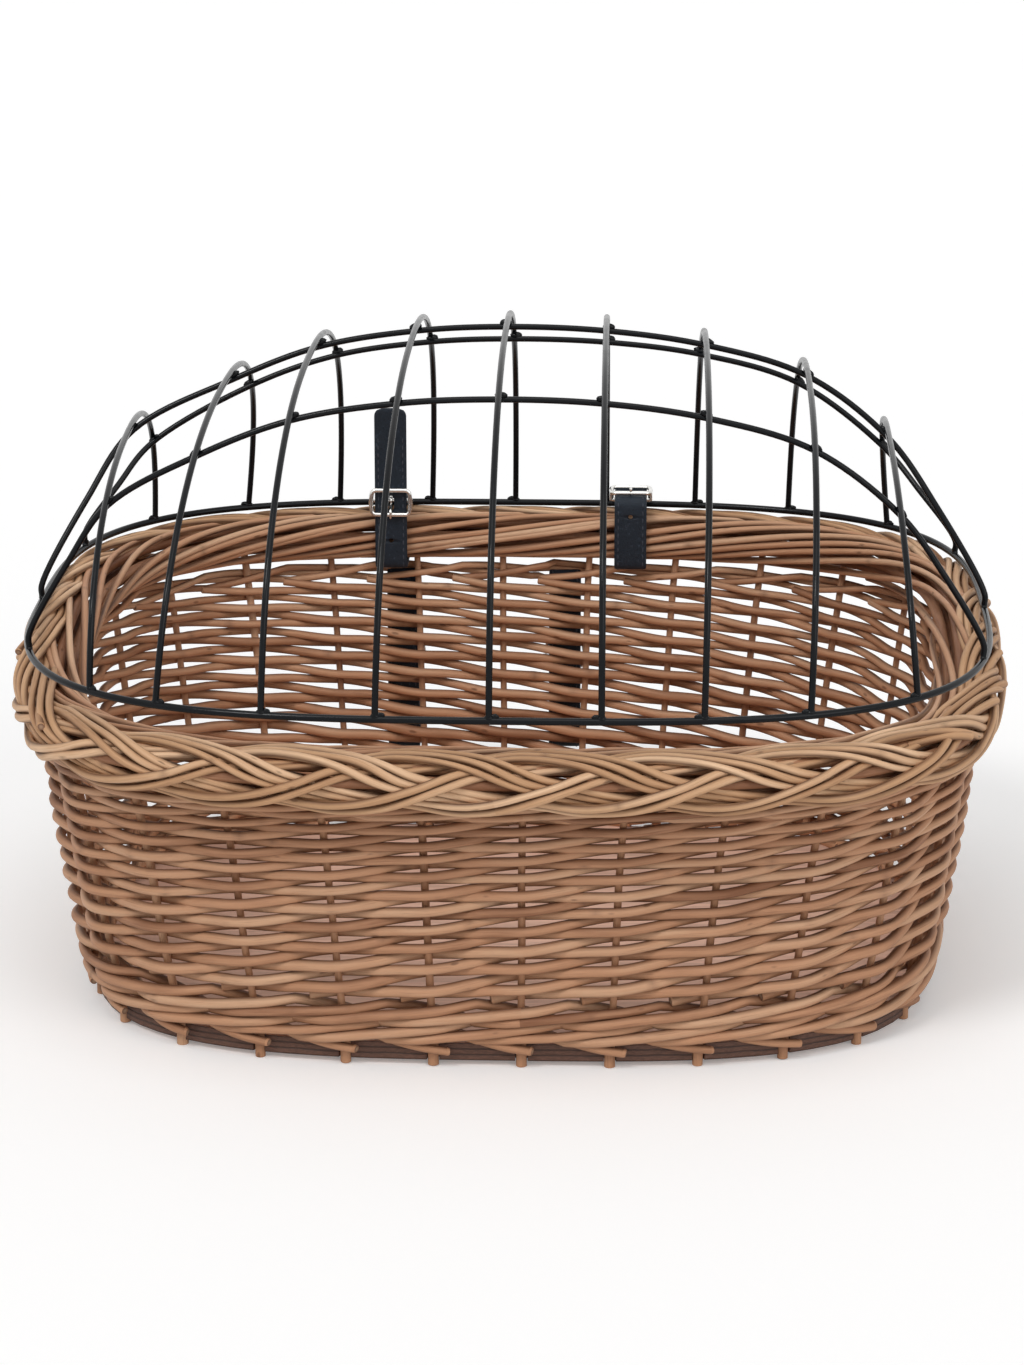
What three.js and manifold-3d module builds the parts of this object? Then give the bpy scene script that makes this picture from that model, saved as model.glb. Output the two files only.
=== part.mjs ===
// Willow bicycle basket with a hinged wire dome, in millimetres, +Z up.
// X runs along the long side, -Y is the front, and z = 0 is the ground under the stake feet.
import * as THREE from 'three';
import { mergeVertices } from 'three/addons/utils/BufferGeometryUtils.js';
import Module from 'manifold-3d';

// Plan outlines are squared ovals with this exponent.
const squareness = 3.2;

// Base board
const boardHalfWidth = 215;
const boardHalfDepth = 168;
const boardUnderside = 3;
const boardThickness = 9;

// Stakes, the upright rods that everything is woven round
const stakeCount = 30;
const stakeRadius = 2.7;
const stakeShift = 11;
const stakeInset = 1;
const notchClearance = 0.4;
const passageOverrun = 10;

// Woven wall. Its flare adds to the board's half width at the ends and to its half depth at the
// long sides, at each share of the height.
const wallThickness = 12;
const lowFlare = 8;
const highEndFlare = 18;
const highSideFlare = 19;
const topEndFlare = 21;
const topSideFlare = 28;
const wallFlare = [
  { share: 0, ends: 0, sides: 0 },
  { share: 0.3, ends: lowFlare, sides: lowFlare },
  { share: 0.8, ends: highEndFlare, sides: highSideFlare },
  { share: 1, ends: topEndFlare, sides: topSideFlare },
];
const footWaleHeight = 22;
const touchGap = 0.3;

// Relief of the side weave. In every other row the rods bulge in front of the stakes, in the rows
// between they bulge behind them, and half-way between two stakes they all lie back to a waist.
const weaveRows = 22;
const weaveTopShare = 0.87;
const weaveBulge = 1.5;
const weaveDip = 1.7;
const weaveWaist = 3;

// Plaited border on top of the wall, lower along the front
const borderEndOverhang = -1;
const borderSideOverhang = 8;
const borderRadial = 19;
const borderRise = 14;
const borderFullness = 2.5;
const borderCentreHeight = 175.3;
const frontDip = 15;
const dipStart = 20;
const dipEnd = -130;
// Relief of the plait: strands fall from its inner edge and rise from its outer edge to its middle.
// A groove is cut where the wave between two strands is above the crest's share.
const plaitRelief = 4;
const plaitCrest = 0.37;
const plaitMiddle = 30;
const plaitReach = 85;

// Waling rods outside the wall, just under the border
const waleDrop = 13;
const waleRadial = 3;
const waleRise = 4.5;
const waleGap = 0.4;

// Wire dome
const wireRadius = 2;
const ringEndOverhang = 9;
const ringSideOverhang = 7;
const ringBack = -3;
const domeHeight = 141;
const domeLengthwiseFullness = 2.2;
const hoopFullness = 2.4;
// Hoops from left to right: both feet as shares of the ring's half width, and the lean of the top
const hoopPlan = [
  { front: -0.807, back: -0.842, lean: 3 },
  { front: -0.666, back: -0.64, lean: 11 },
  { front: -0.455, back: -0.431, lean: 5 },
  { front: -0.233, back: -0.216, lean: 4 },
  { front: -0.013, back: -0.022, lean: 1 },
  { front: 0.204, back: 0.19, lean: 0 },
  { front: 0.402, back: 0.396, lean: 2 },
  { front: 0.608, back: 0.611, lean: 3 },
  { front: 0.82, back: 0.832, lean: -8 },
];
const rails = {
  lid_rail_front: { middle: -98, end: -104 },
  lid_rail_top: { middle: 42, end: -10 },
  lid_rail_back: { middle: 146, end: 98 },
};
const railFullness = 3;
const railShoulder = 0.6;
const railLeg = 6;
const crossingGap = 0.9;

// Leather straps and their buckles
const strapWidth = 18;
const strapThickness = 2;
const strapGap = 0.4;
const lidStrapPlaces = { left: -74.5, right: 60 };
const lidStrapTail = 60;
const barStrapPlaces = { left: -69, right: 23 };
const barStrapDrop = 95;
const barRadius = 1.25;
const buckleHalfHeight = 7;
const lidBuckleRise = 6.5;
const flatBuckleRise = 9;
const flatBuckleInset = 13;
const bendRadius = 5;
const ringPlay = 1.5;
const barBuckleDrop = 46;
const prongWidth = 2.4;
const prongThickness = 1.4;
const prongSlotWidth = 3.6;

// Facets
const wireSides = 6;
const hoopSteps = 20;
const railStepsPerSpan = 2;
const borderSides = 12;
const loopSteps = 75;
const borderSteps = 120;
const ringSteps = 80;
const bendSegments = 6;

const willow = { color: 0xb5835a, roughness: 0.6, metalness: 0 };
const paleWillow = { color: 0xc99a68, roughness: 0.55, metalness: 0 };
const stainedWood = { color: 0x5e3626, roughness: 0.7, metalness: 0 };
const blackPaint = { color: 0x17191c, roughness: 0.25, metalness: 0.1 };
const blackLeather = { color: 0x1b1e24, roughness: 0.5, metalness: 0 };
const nickel = { color: 0xc9c9c6, roughness: 0.2, metalness: 1 };

const wasm = await Module();
wasm.setup();
const basket = new THREE.Group();

function addMesh(name, geometry, finish, parent = basket) {
  const mesh = new THREE.Mesh(geometry, new THREE.MeshStandardMaterial(finish));
  mesh.name = name;
  parent.add(mesh);
  return mesh;
}

function toSolid(geometry) {
  const bare = geometry.clone();
  for (const attribute of Object.keys(bare.attributes)) {
    if (attribute !== 'position') bare.deleteAttribute(attribute);
  }
  const merged = mergeVertices(bare, 1e-4);
  const vertProperties = new Float32Array(merged.attributes.position.array);
  const triVerts = new Uint32Array(merged.index.array);
  return new wasm.Manifold(new wasm.Mesh({ numProp: 3, vertProperties, triVerts }));
}

function toGeometry(solid) {
  const mesh = solid.getMesh();
  const geometry = new THREE.BufferGeometry();
  geometry.setAttribute('position', new THREE.BufferAttribute(new Float32Array(mesh.vertProperties), 3));
  geometry.setIndex(new THREE.BufferAttribute(new Uint32Array(mesh.triVerts), 1));
  return geometry;
}

function boxAt(low, high) {
  const size = high.map((value, axis) => value - low[axis]);
  const box = new THREE.BoxGeometry(...size);
  box.translate(...high.map((value, axis) => (value + low[axis]) / 2));
  return box;
}

function superCurve(share, exponent) {
  return (1 - Math.min(1, Math.abs(share)) ** exponent) ** (1 / exponent);
}

// A squared oval that is read by distance along it, from its front middle towards +X.
function makeOutline(halfWidth, halfDepth, exponent = squareness) {
  const samples = 1440;
  const points = [];
  for (let i = 0; i <= samples; i += 1) {
    const angle = (i / samples) * 2 * Math.PI - Math.PI / 2;
    const c = Math.cos(angle);
    const s = Math.sin(angle);
    points.push([
      halfWidth * Math.sign(c) * Math.abs(c) ** (2 / exponent),
      halfDepth * Math.sign(s) * Math.abs(s) ** (2 / exponent),
    ]);
  }
  const lengths = [0];
  for (let i = 1; i <= samples; i += 1) {
    const [x0, y0] = points[i - 1];
    const [x1, y1] = points[i];
    lengths.push(lengths[i - 1] + Math.hypot(x1 - x0, y1 - y0));
  }
  const total = lengths[samples];
  const pointAt = (turn) => {
    const wanted = (turn - Math.floor(turn)) * total;
    let low = 0;
    let high = samples;
    while (high - low > 1) {
      const middle = (low + high) >> 1;
      if (lengths[middle] <= wanted) low = middle;
      else high = middle;
    }
    const share = (wanted - lengths[low]) / (lengths[high] - lengths[low]);
    return [0, 1].map((axis) => points[low][axis] + share * (points[high][axis] - points[low][axis]));
  };
  return { total, pointAt };
}

// Closes rows of points, each row a closed loop, into one ring-shaped solid or capped tube.
function loftRows(rows) {
  const perRow = rows[0].length;
  const positions = rows.flat(2);
  const index = [];
  for (let row = 0; row < rows.length; row += 1) {
    const next = (row + 1) % rows.length;
    for (let i = 0; i < perRow; i += 1) {
      const j = (i + 1) % perRow;
      const a = row * perRow + i;
      const b = row * perRow + j;
      const c = next * perRow + i;
      const d = next * perRow + j;
      index.push(a, b, d, a, d, c);
    }
  }
  const geometry = new THREE.BufferGeometry();
  geometry.setAttribute('position', new THREE.Float32BufferAttribute(positions, 3));
  geometry.setIndex(index);
  return geometry;
}

function wallSizeAt(share, inset) {
  const upper = wallFlare.findIndex((level) => level.share >= share);
  const b = wallFlare[Math.max(1, upper)];
  const a = wallFlare[Math.max(1, upper) - 1];
  const between = (share - a.share) / (b.share - a.share);
  const ends = a.ends + between * (b.ends - a.ends);
  const sides = a.sides + between * (b.sides - a.sides);
  const outward = wallThickness / 2 - stakeInset - inset;
  return [boardHalfWidth + ends + outward, boardHalfDepth + sides + outward];
}

function wallOutlineAt(share, inset) {
  return makeOutline(...wallSizeAt(share, inset));
}

// The border is centred over the wall's middle line, and the ring over the border.
const [wallTopHalfWidth, wallTopHalfDepth] = wallSizeAt(1, wallThickness / 2);
const borderHalfWidth = wallTopHalfWidth + borderEndOverhang;
const borderHalfDepth = wallTopHalfDepth + borderSideOverhang;
const ringHalfWidth = borderHalfWidth + ringEndOverhang;
const ringHalfDepth = borderHalfDepth + ringSideOverhang;

// How far back an oval lies over the width of a strap at x: its nearest and its furthest y.
function backSpan(halfWidth, halfDepth, x) {
  const edges = [x - strapWidth / 2, x, x + strapWidth / 2];
  const reach = edges.map((edge) => halfDepth * superCurve(edge / halfWidth, squareness));
  return { near: Math.min(...reach), far: Math.max(...reach) };
}

function borderCentreAt(y) {
  return borderCentreHeight - frontDip * THREE.MathUtils.smoothstep(-y, -dipStart, -dipEnd);
}

const wallFoot = boardUnderside + boardThickness + touchGap;
const stakePitch = 1 / stakeCount;
const stakePhase = stakeShift / wallOutlineAt(0, 0).total;

function wallTopAt(y) {
  return borderCentreAt(y) - borderRise - touchGap;
}

function wallHeightAt(share, y) {
  return wallFoot + share * (wallTopAt(y) - wallFoot);
}

// The outer face of the back wall behind a strap, at a height.
function backWallSpan(z, x) {
  const share = (z - wallFoot) / (wallTopAt(boardHalfDepth) - wallFoot);
  return backSpan(...wallSizeAt(share, 0), x);
}

// A woven band of the wall between two height shares, with a groove inside for each stake.
function wovenBand(shares) {
  const outerRows = [];
  const innerRows = [];
  for (const share of shares) {
    const outer = wallOutlineAt(share, 0);
    const inner = wallOutlineAt(share, wallThickness);
    const groove = wallOutlineAt(share, wallThickness / 2 - stakeRadius - notchClearance);
    const halfGroove = (stakeRadius + notchClearance) / inner.total;
    const outerRow = [];
    const innerRow = [];
    for (let i = 0; i < stakeCount; i += 1) {
      const turn = stakePhase + i * stakePitch;
      const steps = [
        [turn - halfGroove * 1.5, inner, turn - halfGroove],
        [turn - halfGroove * 0.5, groove, turn - halfGroove],
        [turn + halfGroove * 0.5, groove, turn + halfGroove],
        [turn + halfGroove * 1.5, inner, turn + halfGroove],
        [turn + stakePitch / 2, inner, turn + stakePitch / 2],
      ];
      for (const [outerTurn, source, innerTurn] of steps) {
        const [ox, oy] = outer.pointAt(outerTurn);
        const [ix, iy] = source.pointAt(innerTurn);
        outerRow.push([ox, oy, wallHeightAt(share, oy)]);
        innerRow.push([ix, iy, wallHeightAt(share, oy)]);
      }
    }
    outerRows.push(outerRow);
    innerRows.unshift(innerRow);
  }
  return loftRows([...outerRows, ...innerRows]);
}

// A closed loop with a rounded section that follows an outline at a height given by y. The
// section has a corner at its top and bottom, so that it stands exactly its rise from its middle.
// A relief, read by turn and by degrees round the section, draws its points in by some millimetres.
function loopSweep(outline, steps, sides, radial, rise, fullness, heightAt, reliefAt = () => 0) {
  const section = [];
  for (let i = 0; i < sides; i += 1) {
    const angle = (i / sides + 0.25) * 2 * Math.PI;
    const c = Math.cos(angle);
    const s = Math.sin(angle);
    const out = radial * Math.sign(c) * Math.abs(c) ** (2 / fullness);
    const up = rise * Math.sign(s) * Math.abs(s) ** (2 / fullness);
    section.push({ out, up, degrees: THREE.MathUtils.radToDeg(angle) });
  }
  const rows = [];
  const reach = 0.25 / steps;
  for (let step = 0; step < steps; step += 1) {
    const turn = step / steps;
    const [x, y] = outline.pointAt(turn);
    const [xa, ya] = outline.pointAt(turn - reach);
    const [xb, yb] = outline.pointAt(turn + reach);
    const along = Math.hypot(xb - xa, yb - ya);
    const nx = (yb - ya) / along;
    const ny = -(xb - xa) / along;
    rows.push(section.map(({ out, up, degrees }) => {
      const kept = 1 - reliefAt(turn, degrees) / Math.hypot(out, up);
      return [x + nx * out * kept, y + ny * out * kept, heightAt(y) + up * kept];
    }));
  }
  return loftRows(rows.map((row) => row.slice().reverse()));
}

function circleShape(radius, sides) {
  const shape = new THREE.Shape();
  for (let i = 0; i < sides; i += 1) {
    const angle = (i / sides) * 2 * Math.PI;
    const x = radius * Math.cos(angle);
    const y = radius * Math.sin(angle);
    if (i === 0) shape.moveTo(x, y);
    else shape.lineTo(x, y);
  }
  shape.closePath();
  return shape;
}

// A round rod along a smooth path, with section ends that fall exactly on the given points.
function rodAlong(points, radius, stepsPerSpan = 1) {
  const path = new THREE.CatmullRomCurve3(points, false, 'centripetal');
  path.getPointAt = (share) => path.getPoint(share);
  path.getTangentAt = (share) => path.getTangent(share);
  return new THREE.ExtrudeGeometry(circleShape(radius, wireSides), {
    extrudePath: path,
    steps: stepsPerSpan * (points.length - 1),
    bevelEnabled: false,
  });
}

// Turns a profile drawn with (y, z) as its (x, y) and extruded by a width so that it is centred on x.
function acrossWidth(shape, width, x) {
  const bends = { depth: width, bevelEnabled: false, curveSegments: bendSegments };
  const geometry = new THREE.ExtrudeGeometry(shape, bends);
  geometry.translate(0, 0, -width / 2);
  const turn = new THREE.Matrix4().makeBasis(
    new THREE.Vector3(0, 1, 0),
    new THREE.Vector3(0, 0, 1),
    new THREE.Vector3(1, 0, 0),
  );
  geometry.applyMatrix4(turn);
  geometry.translate(x, 0, 0);
  return geometry;
}

// A strip of even thickness along a path of (y, z) points.
function stripShape(path, thickness) {
  const left = [];
  const right = [];
  path.forEach(([y, z], i) => {
    const [ya, za] = path[Math.max(0, i - 1)];
    const [yb, zb] = path[Math.min(path.length - 1, i + 1)];
    const along = Math.hypot(yb - ya, zb - za);
    const ny = -(zb - za) / along;
    const nz = (yb - ya) / along;
    left.push(new THREE.Vector2(y + (ny * thickness) / 2, z + (nz * thickness) / 2));
    right.unshift(new THREE.Vector2(y - (ny * thickness) / 2, z - (nz * thickness) / 2));
  });
  return new THREE.Shape([...left, ...right]);
}

// Base board, notched at its edge for the stakes
function makeBoard() {
  const outline = makeOutline(boardHalfWidth, boardHalfDepth);
  const notch = stakeInset + stakeRadius + notchClearance;
  const inner = makeOutline(boardHalfWidth - notch, boardHalfDepth - notch);
  const half = (stakeRadius + notchClearance) / outline.total;
  const points = [];
  for (let i = 0; i < stakeCount; i += 1) {
    const turn = stakePhase + i * stakePitch;
    points.push(outline.pointAt(turn - half));
    points.push(inner.pointAt(turn - half));
    points.push(inner.pointAt(turn + half));
    points.push(outline.pointAt(turn + half));
    points.push(outline.pointAt(turn + stakePitch / 3));
    points.push(outline.pointAt(turn + (stakePitch * 2) / 3));
  }
  const shape = new THREE.Shape(points.map(([x, y]) => new THREE.Vector2(x, y)));
  const board = new THREE.ExtrudeGeometry(shape, { depth: boardThickness, bevelEnabled: false });
  board.translate(0, 0, boardUnderside);
  return board;
}

// One stake: a short foot beside the board, then up the middle of the wall to the border. Its
// passage through the weave is the same rod, thicker by a clearance and longer at the top.
function makeStake(turn, clearance = 0) {
  const foot = wallOutlineAt(0, wallThickness / 2).pointAt(turn);
  const points = [new THREE.Vector3(foot[0], foot[1], 0)];
  for (const level of wallFlare) {
    const [x, y] = wallOutlineAt(level.share, wallThickness / 2).pointAt(turn);
    points.push(new THREE.Vector3(x, y, wallHeightAt(level.share, y)));
  }
  const top = points[points.length - 1];
  const slope = top.clone().sub(points[points.length - 2]).normalize();
  top.addScaledVector(slope, clearance * passageOverrun);
  return rodAlong(points, stakeRadius + clearance);
}

addMesh('base_board', makeBoard(), stainedWood);
const footShare = footWaleHeight / (wallTopAt(boardHalfDepth) - wallFoot);
addMesh('foot_wale', wovenBand([0, footShare]), willow);

// One face of the side weave: rows of points on the stakes and half-way between them, where the
// points lie half a row higher. side is 1 on the outside of the wall and -1 on its inside.
function weaveFace(side) {
  const half = wallThickness / 2;
  const rowAt = (depthAt, shareAt, lift = 0) => {
    const levels = [0, 1].map((between) => {
      const share = shareAt(between);
      return { share, outline: wallOutlineAt(share, half - side * depthAt(between)) };
    });
    const row = [];
    for (let i = 0; i < 2 * stakeCount; i += 1) {
      const { share, outline } = levels[i % 2];
      const [x, y] = outline.pointAt(stakePhase + (i * stakePitch) / 2);
      row.push([x, y, wallHeightAt(share, y) + lift]);
    }
    return row;
  };
  const rows = [rowAt(() => half, () => footShare, touchGap)];
  const rowRise = (weaveTopShare - footShare) / (weaveRows + 1);
  for (let row = 1; row <= weaveRows; row += 1) {
    const forward = (row % 2 === 0) === (side > 0);
    const onStake = forward ? half + weaveBulge : half - weaveDip;
    const depthAt = (between) => (between ? half - weaveWaist : onStake);
    rows.push(rowAt(depthAt, (between) => footShare + (row + between / 2) * rowRise));
  }
  rows.push(rowAt(() => half, () => weaveTopShare + rowRise));
  rows.push(rowAt(() => half, () => 1));
  return rows;
}

const backWallTop = wallTopAt(borderHalfDepth);
const waleHeight = backWallTop - waleDrop;

// The inner and outer runs of a bar strap, either side of the waling rods.
function barStrapRuns(x) {
  const wall = backWallSpan(waleHeight, x);
  const inner = wall.near - strapThickness / 2;
  const outer = wall.far + waleGap + 2 * waleRadial + strapGap + strapThickness / 2;
  return { inner, outer, face: outer + strapThickness / 2 };
}

function makeSideWeave() {
  let solid = toSolid(loftRows([...weaveFace(1), ...weaveFace(-1).reverse()]));
  for (let i = 0; i < stakeCount; i += 1) {
    solid = solid.subtract(toSolid(makeStake(stakePhase + i * stakePitch, notchClearance)));
  }
  const deep = 40;
  for (const x of Object.values(lidStrapPlaces)) {
    const half = strapWidth / 2 + strapGap;
    const { near } = backWallSpan(backWallTop, x);
    const low = [x - half, near - deep, backWallTop - strapThickness - 2 * strapGap];
    const high = [x + half, near + deep, backWallTop + deep];
    solid = solid.subtract(toSolid(boxAt(low, high)));
  }
  for (const x of Object.values(barStrapPlaces)) {
    const half = strapWidth / 2 + strapGap;
    const face = barStrapRuns(x).inner - strapThickness / 2 - strapGap;
    const low = [x - half, face, backWallTop - barStrapDrop];
    const high = [x + half, face + deep, backWallTop + deep];
    solid = solid.subtract(toSolid(boxAt(low, high)));
  }
  return toGeometry(solid);
}
addMesh('side_weave', makeSideWeave(), willow);

function makeTopWale() {
  const share = (waleHeight - wallFoot) / (backWallTop - wallFoot);
  const outline = wallOutlineAt(share, -waleRadial - waleGap);
  return loopSweep(outline, loopSteps, wireSides, waleRadial, waleRise, 2, (y) => wallHeightAt(share, y));
}
addMesh('top_wale', makeTopWale(), willow);

// The plait's relief over its seen side: chevrons, one for each stake, that meet at its middle.
function plaitReliefAt(turn, degrees) {
  const across = (((degrees - plaitMiddle + 540) % 360) - 180) / plaitReach;
  if (Math.abs(across) > 1) return 0;
  const offset = across > 0 ? 0 : 0.5;
  const wave = 0.5 - 0.5 * Math.cos(2 * Math.PI * (turn * stakeCount + Math.abs(across) + offset));
  return (plaitRelief * Math.max(0, wave - plaitCrest)) / (1 - plaitCrest);
}

const borderOutline = makeOutline(borderHalfWidth, borderHalfDepth);
const borderForm = [borderSteps, borderSides, borderRadial, borderRise, borderFullness];
addMesh('border', loopSweep(borderOutline, ...borderForm, borderCentreAt, plaitReliefAt), paleWillow);

for (let i = 0; i < stakeCount; i += 1) {
  const name = `stake_${String(i + 1).padStart(2, '0')}`;
  addMesh(name, makeStake(stakePhase + i * stakePitch), willow);
}

// Wire dome: the ring lies on the border at the back and the hoops and rails stand on the ring.
const lid = new THREE.Group();
basket.add(lid);
const ringHeight = borderCentreHeight + borderRise + touchGap + wireRadius;
const ringOutline = makeOutline(ringHalfWidth, ringHalfDepth);
const ring = loopSweep(ringOutline, ringSteps, wireSides, wireRadius, wireRadius, 2, () => ringHeight);
ring.translate(0, ringBack, 0);
addMesh('lid_ring', ring, blackPaint, lid);

const footHeight = ringHeight + wireRadius + touchGap;

// A hoop read by its y, measured from the middle between its feet.
function hoopAt({ front, back, lean }) {
  const place = (front + back) / 2;
  const rise = domeHeight * superCurve(place, domeLengthwiseFullness) - wireRadius - touchGap;
  const frontReach = ringHalfDepth * superCurve(front, squareness);
  const backReach = ringHalfDepth * superCurve(back, squareness);
  const halfDepth = (frontReach + backReach) / 2;
  const middle = (backReach - frontReach) / 2;
  const pointAt = (y) => {
    const share = y / halfDepth;
    const up = superCurve(share, hoopFullness);
    const x = (place + (share * (back - front)) / 2) * ringHalfWidth;
    return new THREE.Vector3(x + lean * up, y + middle + ringBack, footHeight + rise * up);
  };
  // The point a wire's width inside the hoop, where a rail passes under it.
  const insideAt = (y) => {
    const up = superCurve(y / halfDepth, hoopFullness);
    const slopeY = (Math.sign(y) * Math.abs(y / halfDepth) ** (hoopFullness - 1)) / halfDepth;
    const slopeZ = up ** (hoopFullness - 1) / rise;
    const steep = Math.hypot(slopeY, slopeZ);
    const inward = 2 * wireRadius + crossingGap;
    const point = pointAt(y);
    point.y -= (inward * slopeY) / steep;
    point.z -= (inward * slopeZ) / steep;
    return point;
  };
  return { place, halfDepth, middle, pointAt, insideAt };
}

// Where a rail crosses a hoop, measured from the middle between the hoop's feet.
function crossingAt({ middle, end }, hoop) {
  return end + (middle - end) * superCurve(hoop.place, railFullness) - ringBack - hoop.middle;
}

const hoops = hoopPlan.map(hoopAt);
hoops.forEach((hoop, i) => {
  const places = Object.values(rails).map((rail) => crossingAt(rail, hoop));
  for (let step = 0; step <= hoopSteps; step += 1) {
    const c = -Math.cos((step / hoopSteps) * Math.PI);
    places.push(hoop.halfDepth * Math.sign(c) * Math.abs(c) ** (2 / hoopFullness));
  }
  const points = places.sort((a, b) => a - b).map(hoop.pointAt);
  addMesh(`lid_hoop_${i + 1}`, rodAlong(points, wireRadius), blackPaint, lid);
});

for (const [name, rail] of Object.entries(rails)) {
  const endX = ringHalfWidth * superCurve((rail.end - ringBack) / ringHalfDepth, squareness);
  const points = hoops.map((hoop) => hoop.insideAt(crossingAt(rail, hoop)));
  const landing = (side) => new THREE.Vector3(side * endX, rail.end, footHeight);
  const shoulder = (from, to) => {
    const point = from.clone().lerp(to, 0.5);
    point.z = to.z + railShoulder * (from.z - to.z);
    return point;
  };
  const legTop = (foot) => new THREE.Vector3(foot.x, foot.y, foot.z + railLeg);
  const first = landing(-1);
  const last = landing(1);
  const route = [
    first,
    legTop(first),
    shoulder(points[0], first),
    ...points,
    shoulder(points[points.length - 1], last),
    legTop(last),
    last,
  ];
  addMesh(name, rodAlong(route, wireRadius, railStepsPerSpan), blackPaint, lid);
}

// Buckle in its own frame: the strap's face is the plane y = 0 and its front looks along -Y.
const buckleFront = -(strapGap + barRadius);
const buckleBack = strapThickness + strapGap + barRadius;
const buckleSide = strapWidth / 2 + strapGap + barRadius;

function bucklePiece() {
  const outer = new THREE.Shape();
  const reachX = buckleSide + barRadius;
  const reachZ = buckleHalfHeight + barRadius;
  const corner = 3;
  outer.moveTo(-reachX + corner, -reachZ);
  outer.lineTo(reachX - corner, -reachZ);
  outer.quadraticCurveTo(reachX, -reachZ, reachX, -reachZ + corner);
  outer.lineTo(reachX, reachZ - corner);
  outer.quadraticCurveTo(reachX, reachZ, reachX - corner, reachZ);
  outer.lineTo(-reachX + corner, reachZ);
  outer.quadraticCurveTo(-reachX, reachZ, -reachX, reachZ - corner);
  outer.lineTo(-reachX, -reachZ + corner);
  outer.quadraticCurveTo(-reachX, -reachZ, -reachX + corner, -reachZ);
  const holeX = reachX - 2 * barRadius;
  const holeZ = reachZ - 2 * barRadius;
  outer.holes.push(new THREE.Path([
    new THREE.Vector2(-holeX, -holeZ),
    new THREE.Vector2(-holeX, holeZ),
    new THREE.Vector2(holeX, holeZ),
    new THREE.Vector2(holeX, -holeZ),
  ]));
  const flat = { depth: 2 * barRadius, bevelEnabled: false, curveSegments: 3 };
  const frame = new THREE.ExtrudeGeometry(outer, flat);
  frame.rotateX(Math.PI / 2);
  frame.translate(0, buckleFront + barRadius, 0);
  const barSides = 8;
  const bar = new THREE.CylinderGeometry(barRadius, barRadius, 2 * buckleSide, barSides);
  bar.rotateZ(Math.PI / 2);
  bar.translate(0, buckleBack, 0);
  let solid = toSolid(frame).add(toSolid(bar));
  for (const side of [-1, 1]) {
    const low = [side * buckleSide - barRadius, buckleFront, -barRadius];
    const high = [side * buckleSide + barRadius, buckleBack + barRadius, barRadius];
    solid = solid.add(toSolid(boxAt(low, high)));
  }
  return toGeometry(solid);
}

// The prong's eye goes round the centre bar and its tongue lies over the lower bar.
function prongPiece() {
  const eyeInner = barRadius + 0.2;
  const eyeOuter = eyeInner + prongThickness * 0.7;
  const tipY = buckleFront - barRadius - touchGap - prongThickness / 2;
  const lowerBar = -buckleHalfHeight;
  const clear = barRadius + touchGap + prongThickness / 2;
  const path = [
    [buckleBack - eyeOuter * 0.75, -eyeOuter * 0.55],
    [buckleFront, lowerBar + 1.5 * clear],
    [tipY, lowerBar + clear],
    [tipY, lowerBar],
    [tipY, lowerBar - barRadius],
  ];
  const tongue = acrossWidth(stripShape(path, prongThickness), prongWidth, 0);
  const eye = new THREE.Shape();
  eye.absarc(0, 0, eyeOuter, 0, 2 * Math.PI);
  const bore = new THREE.Path();
  bore.absarc(0, 0, eyeInner, 0, 2 * Math.PI, true);
  eye.holes.push(bore);
  const loop = new THREE.ExtrudeGeometry(eye, { depth: prongWidth, bevelEnabled: false, curveSegments: 10 });
  loop.translate(0, 0, -prongWidth / 2);
  loop.rotateY(Math.PI / 2);
  loop.translate(0, buckleBack, 0);
  return toGeometry(toSolid(loop).add(toSolid(tongue)));
}

// The slot in the strap that the prong comes through.
function prongSlot() {
  const half = prongSlotWidth / 2;
  const low = [-half, -strapGap / 2, -buckleHalfHeight + barRadius + touchGap];
  const high = [half, buckleBack + barRadius + bendRadius, buckleHalfHeight / 2];
  return boxAt(low, high);
}

// Adds a strap, its buckle and its prong, with the buckle's frame put at a place and turned.
function addStrap(kind, side, strip, position, turn) {
  const place = new THREE.Matrix4().makeRotationFromEuler(turn);
  place.setPosition(...position);
  const slot = prongSlot().applyMatrix4(place);
  addMesh(`${kind}_strap_${side}`, toGeometry(toSolid(strip).subtract(toSolid(slot))), blackLeather);
  for (const [piece, geometry] of [['buckle', bucklePiece()], ['prong', prongPiece()]]) {
    const mesh = addMesh(`${kind}_${piece}_${side}`, geometry, nickel);
    mesh.rotation.copy(turn);
    mesh.position.set(...position);
  }
}

function aroundArc(centre, radius, degrees, fullness = 2) {
  const angle = THREE.MathUtils.degToRad(degrees);
  const c = Math.cos(angle);
  const s = Math.sin(angle);
  return [
    centre[0] + radius[0] * Math.sign(c) * Math.abs(c) ** (2 / fullness),
    centre[1] + radius[1] * Math.sign(s) * Math.abs(s) ** (2 / fullness),
  ];
}

// Lid straps tie the ring to the border. Both run from the buckle's centre bar over the ring, down
// round the border and in through the top of the wall. The left tail stands in its upright buckle.
// The right one bends over into a buckle that lies flat above the ring, and hangs down behind.
const inStrap = strapGap + strapThickness / 2;
const curl = barRadius + inStrap;

function lidStrapLevels(x) {
  const border = backSpan(borderHalfWidth, borderHalfDepth, x);
  const ringSpan = backSpan(ringHalfWidth, ringHalfDepth, x);
  const spread = (ringSpan.far - ringSpan.near) / 2;
  return {
    face: border.near - borderRadial - strapGap - strapThickness,
    middle: border.near - borderRadial - inStrap,
    borderY: border.far,
    ringY: ringSpan.near + spread + ringBack,
    overRing: wireRadius + ringPlay + inStrap + spread,
  };
}

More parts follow.
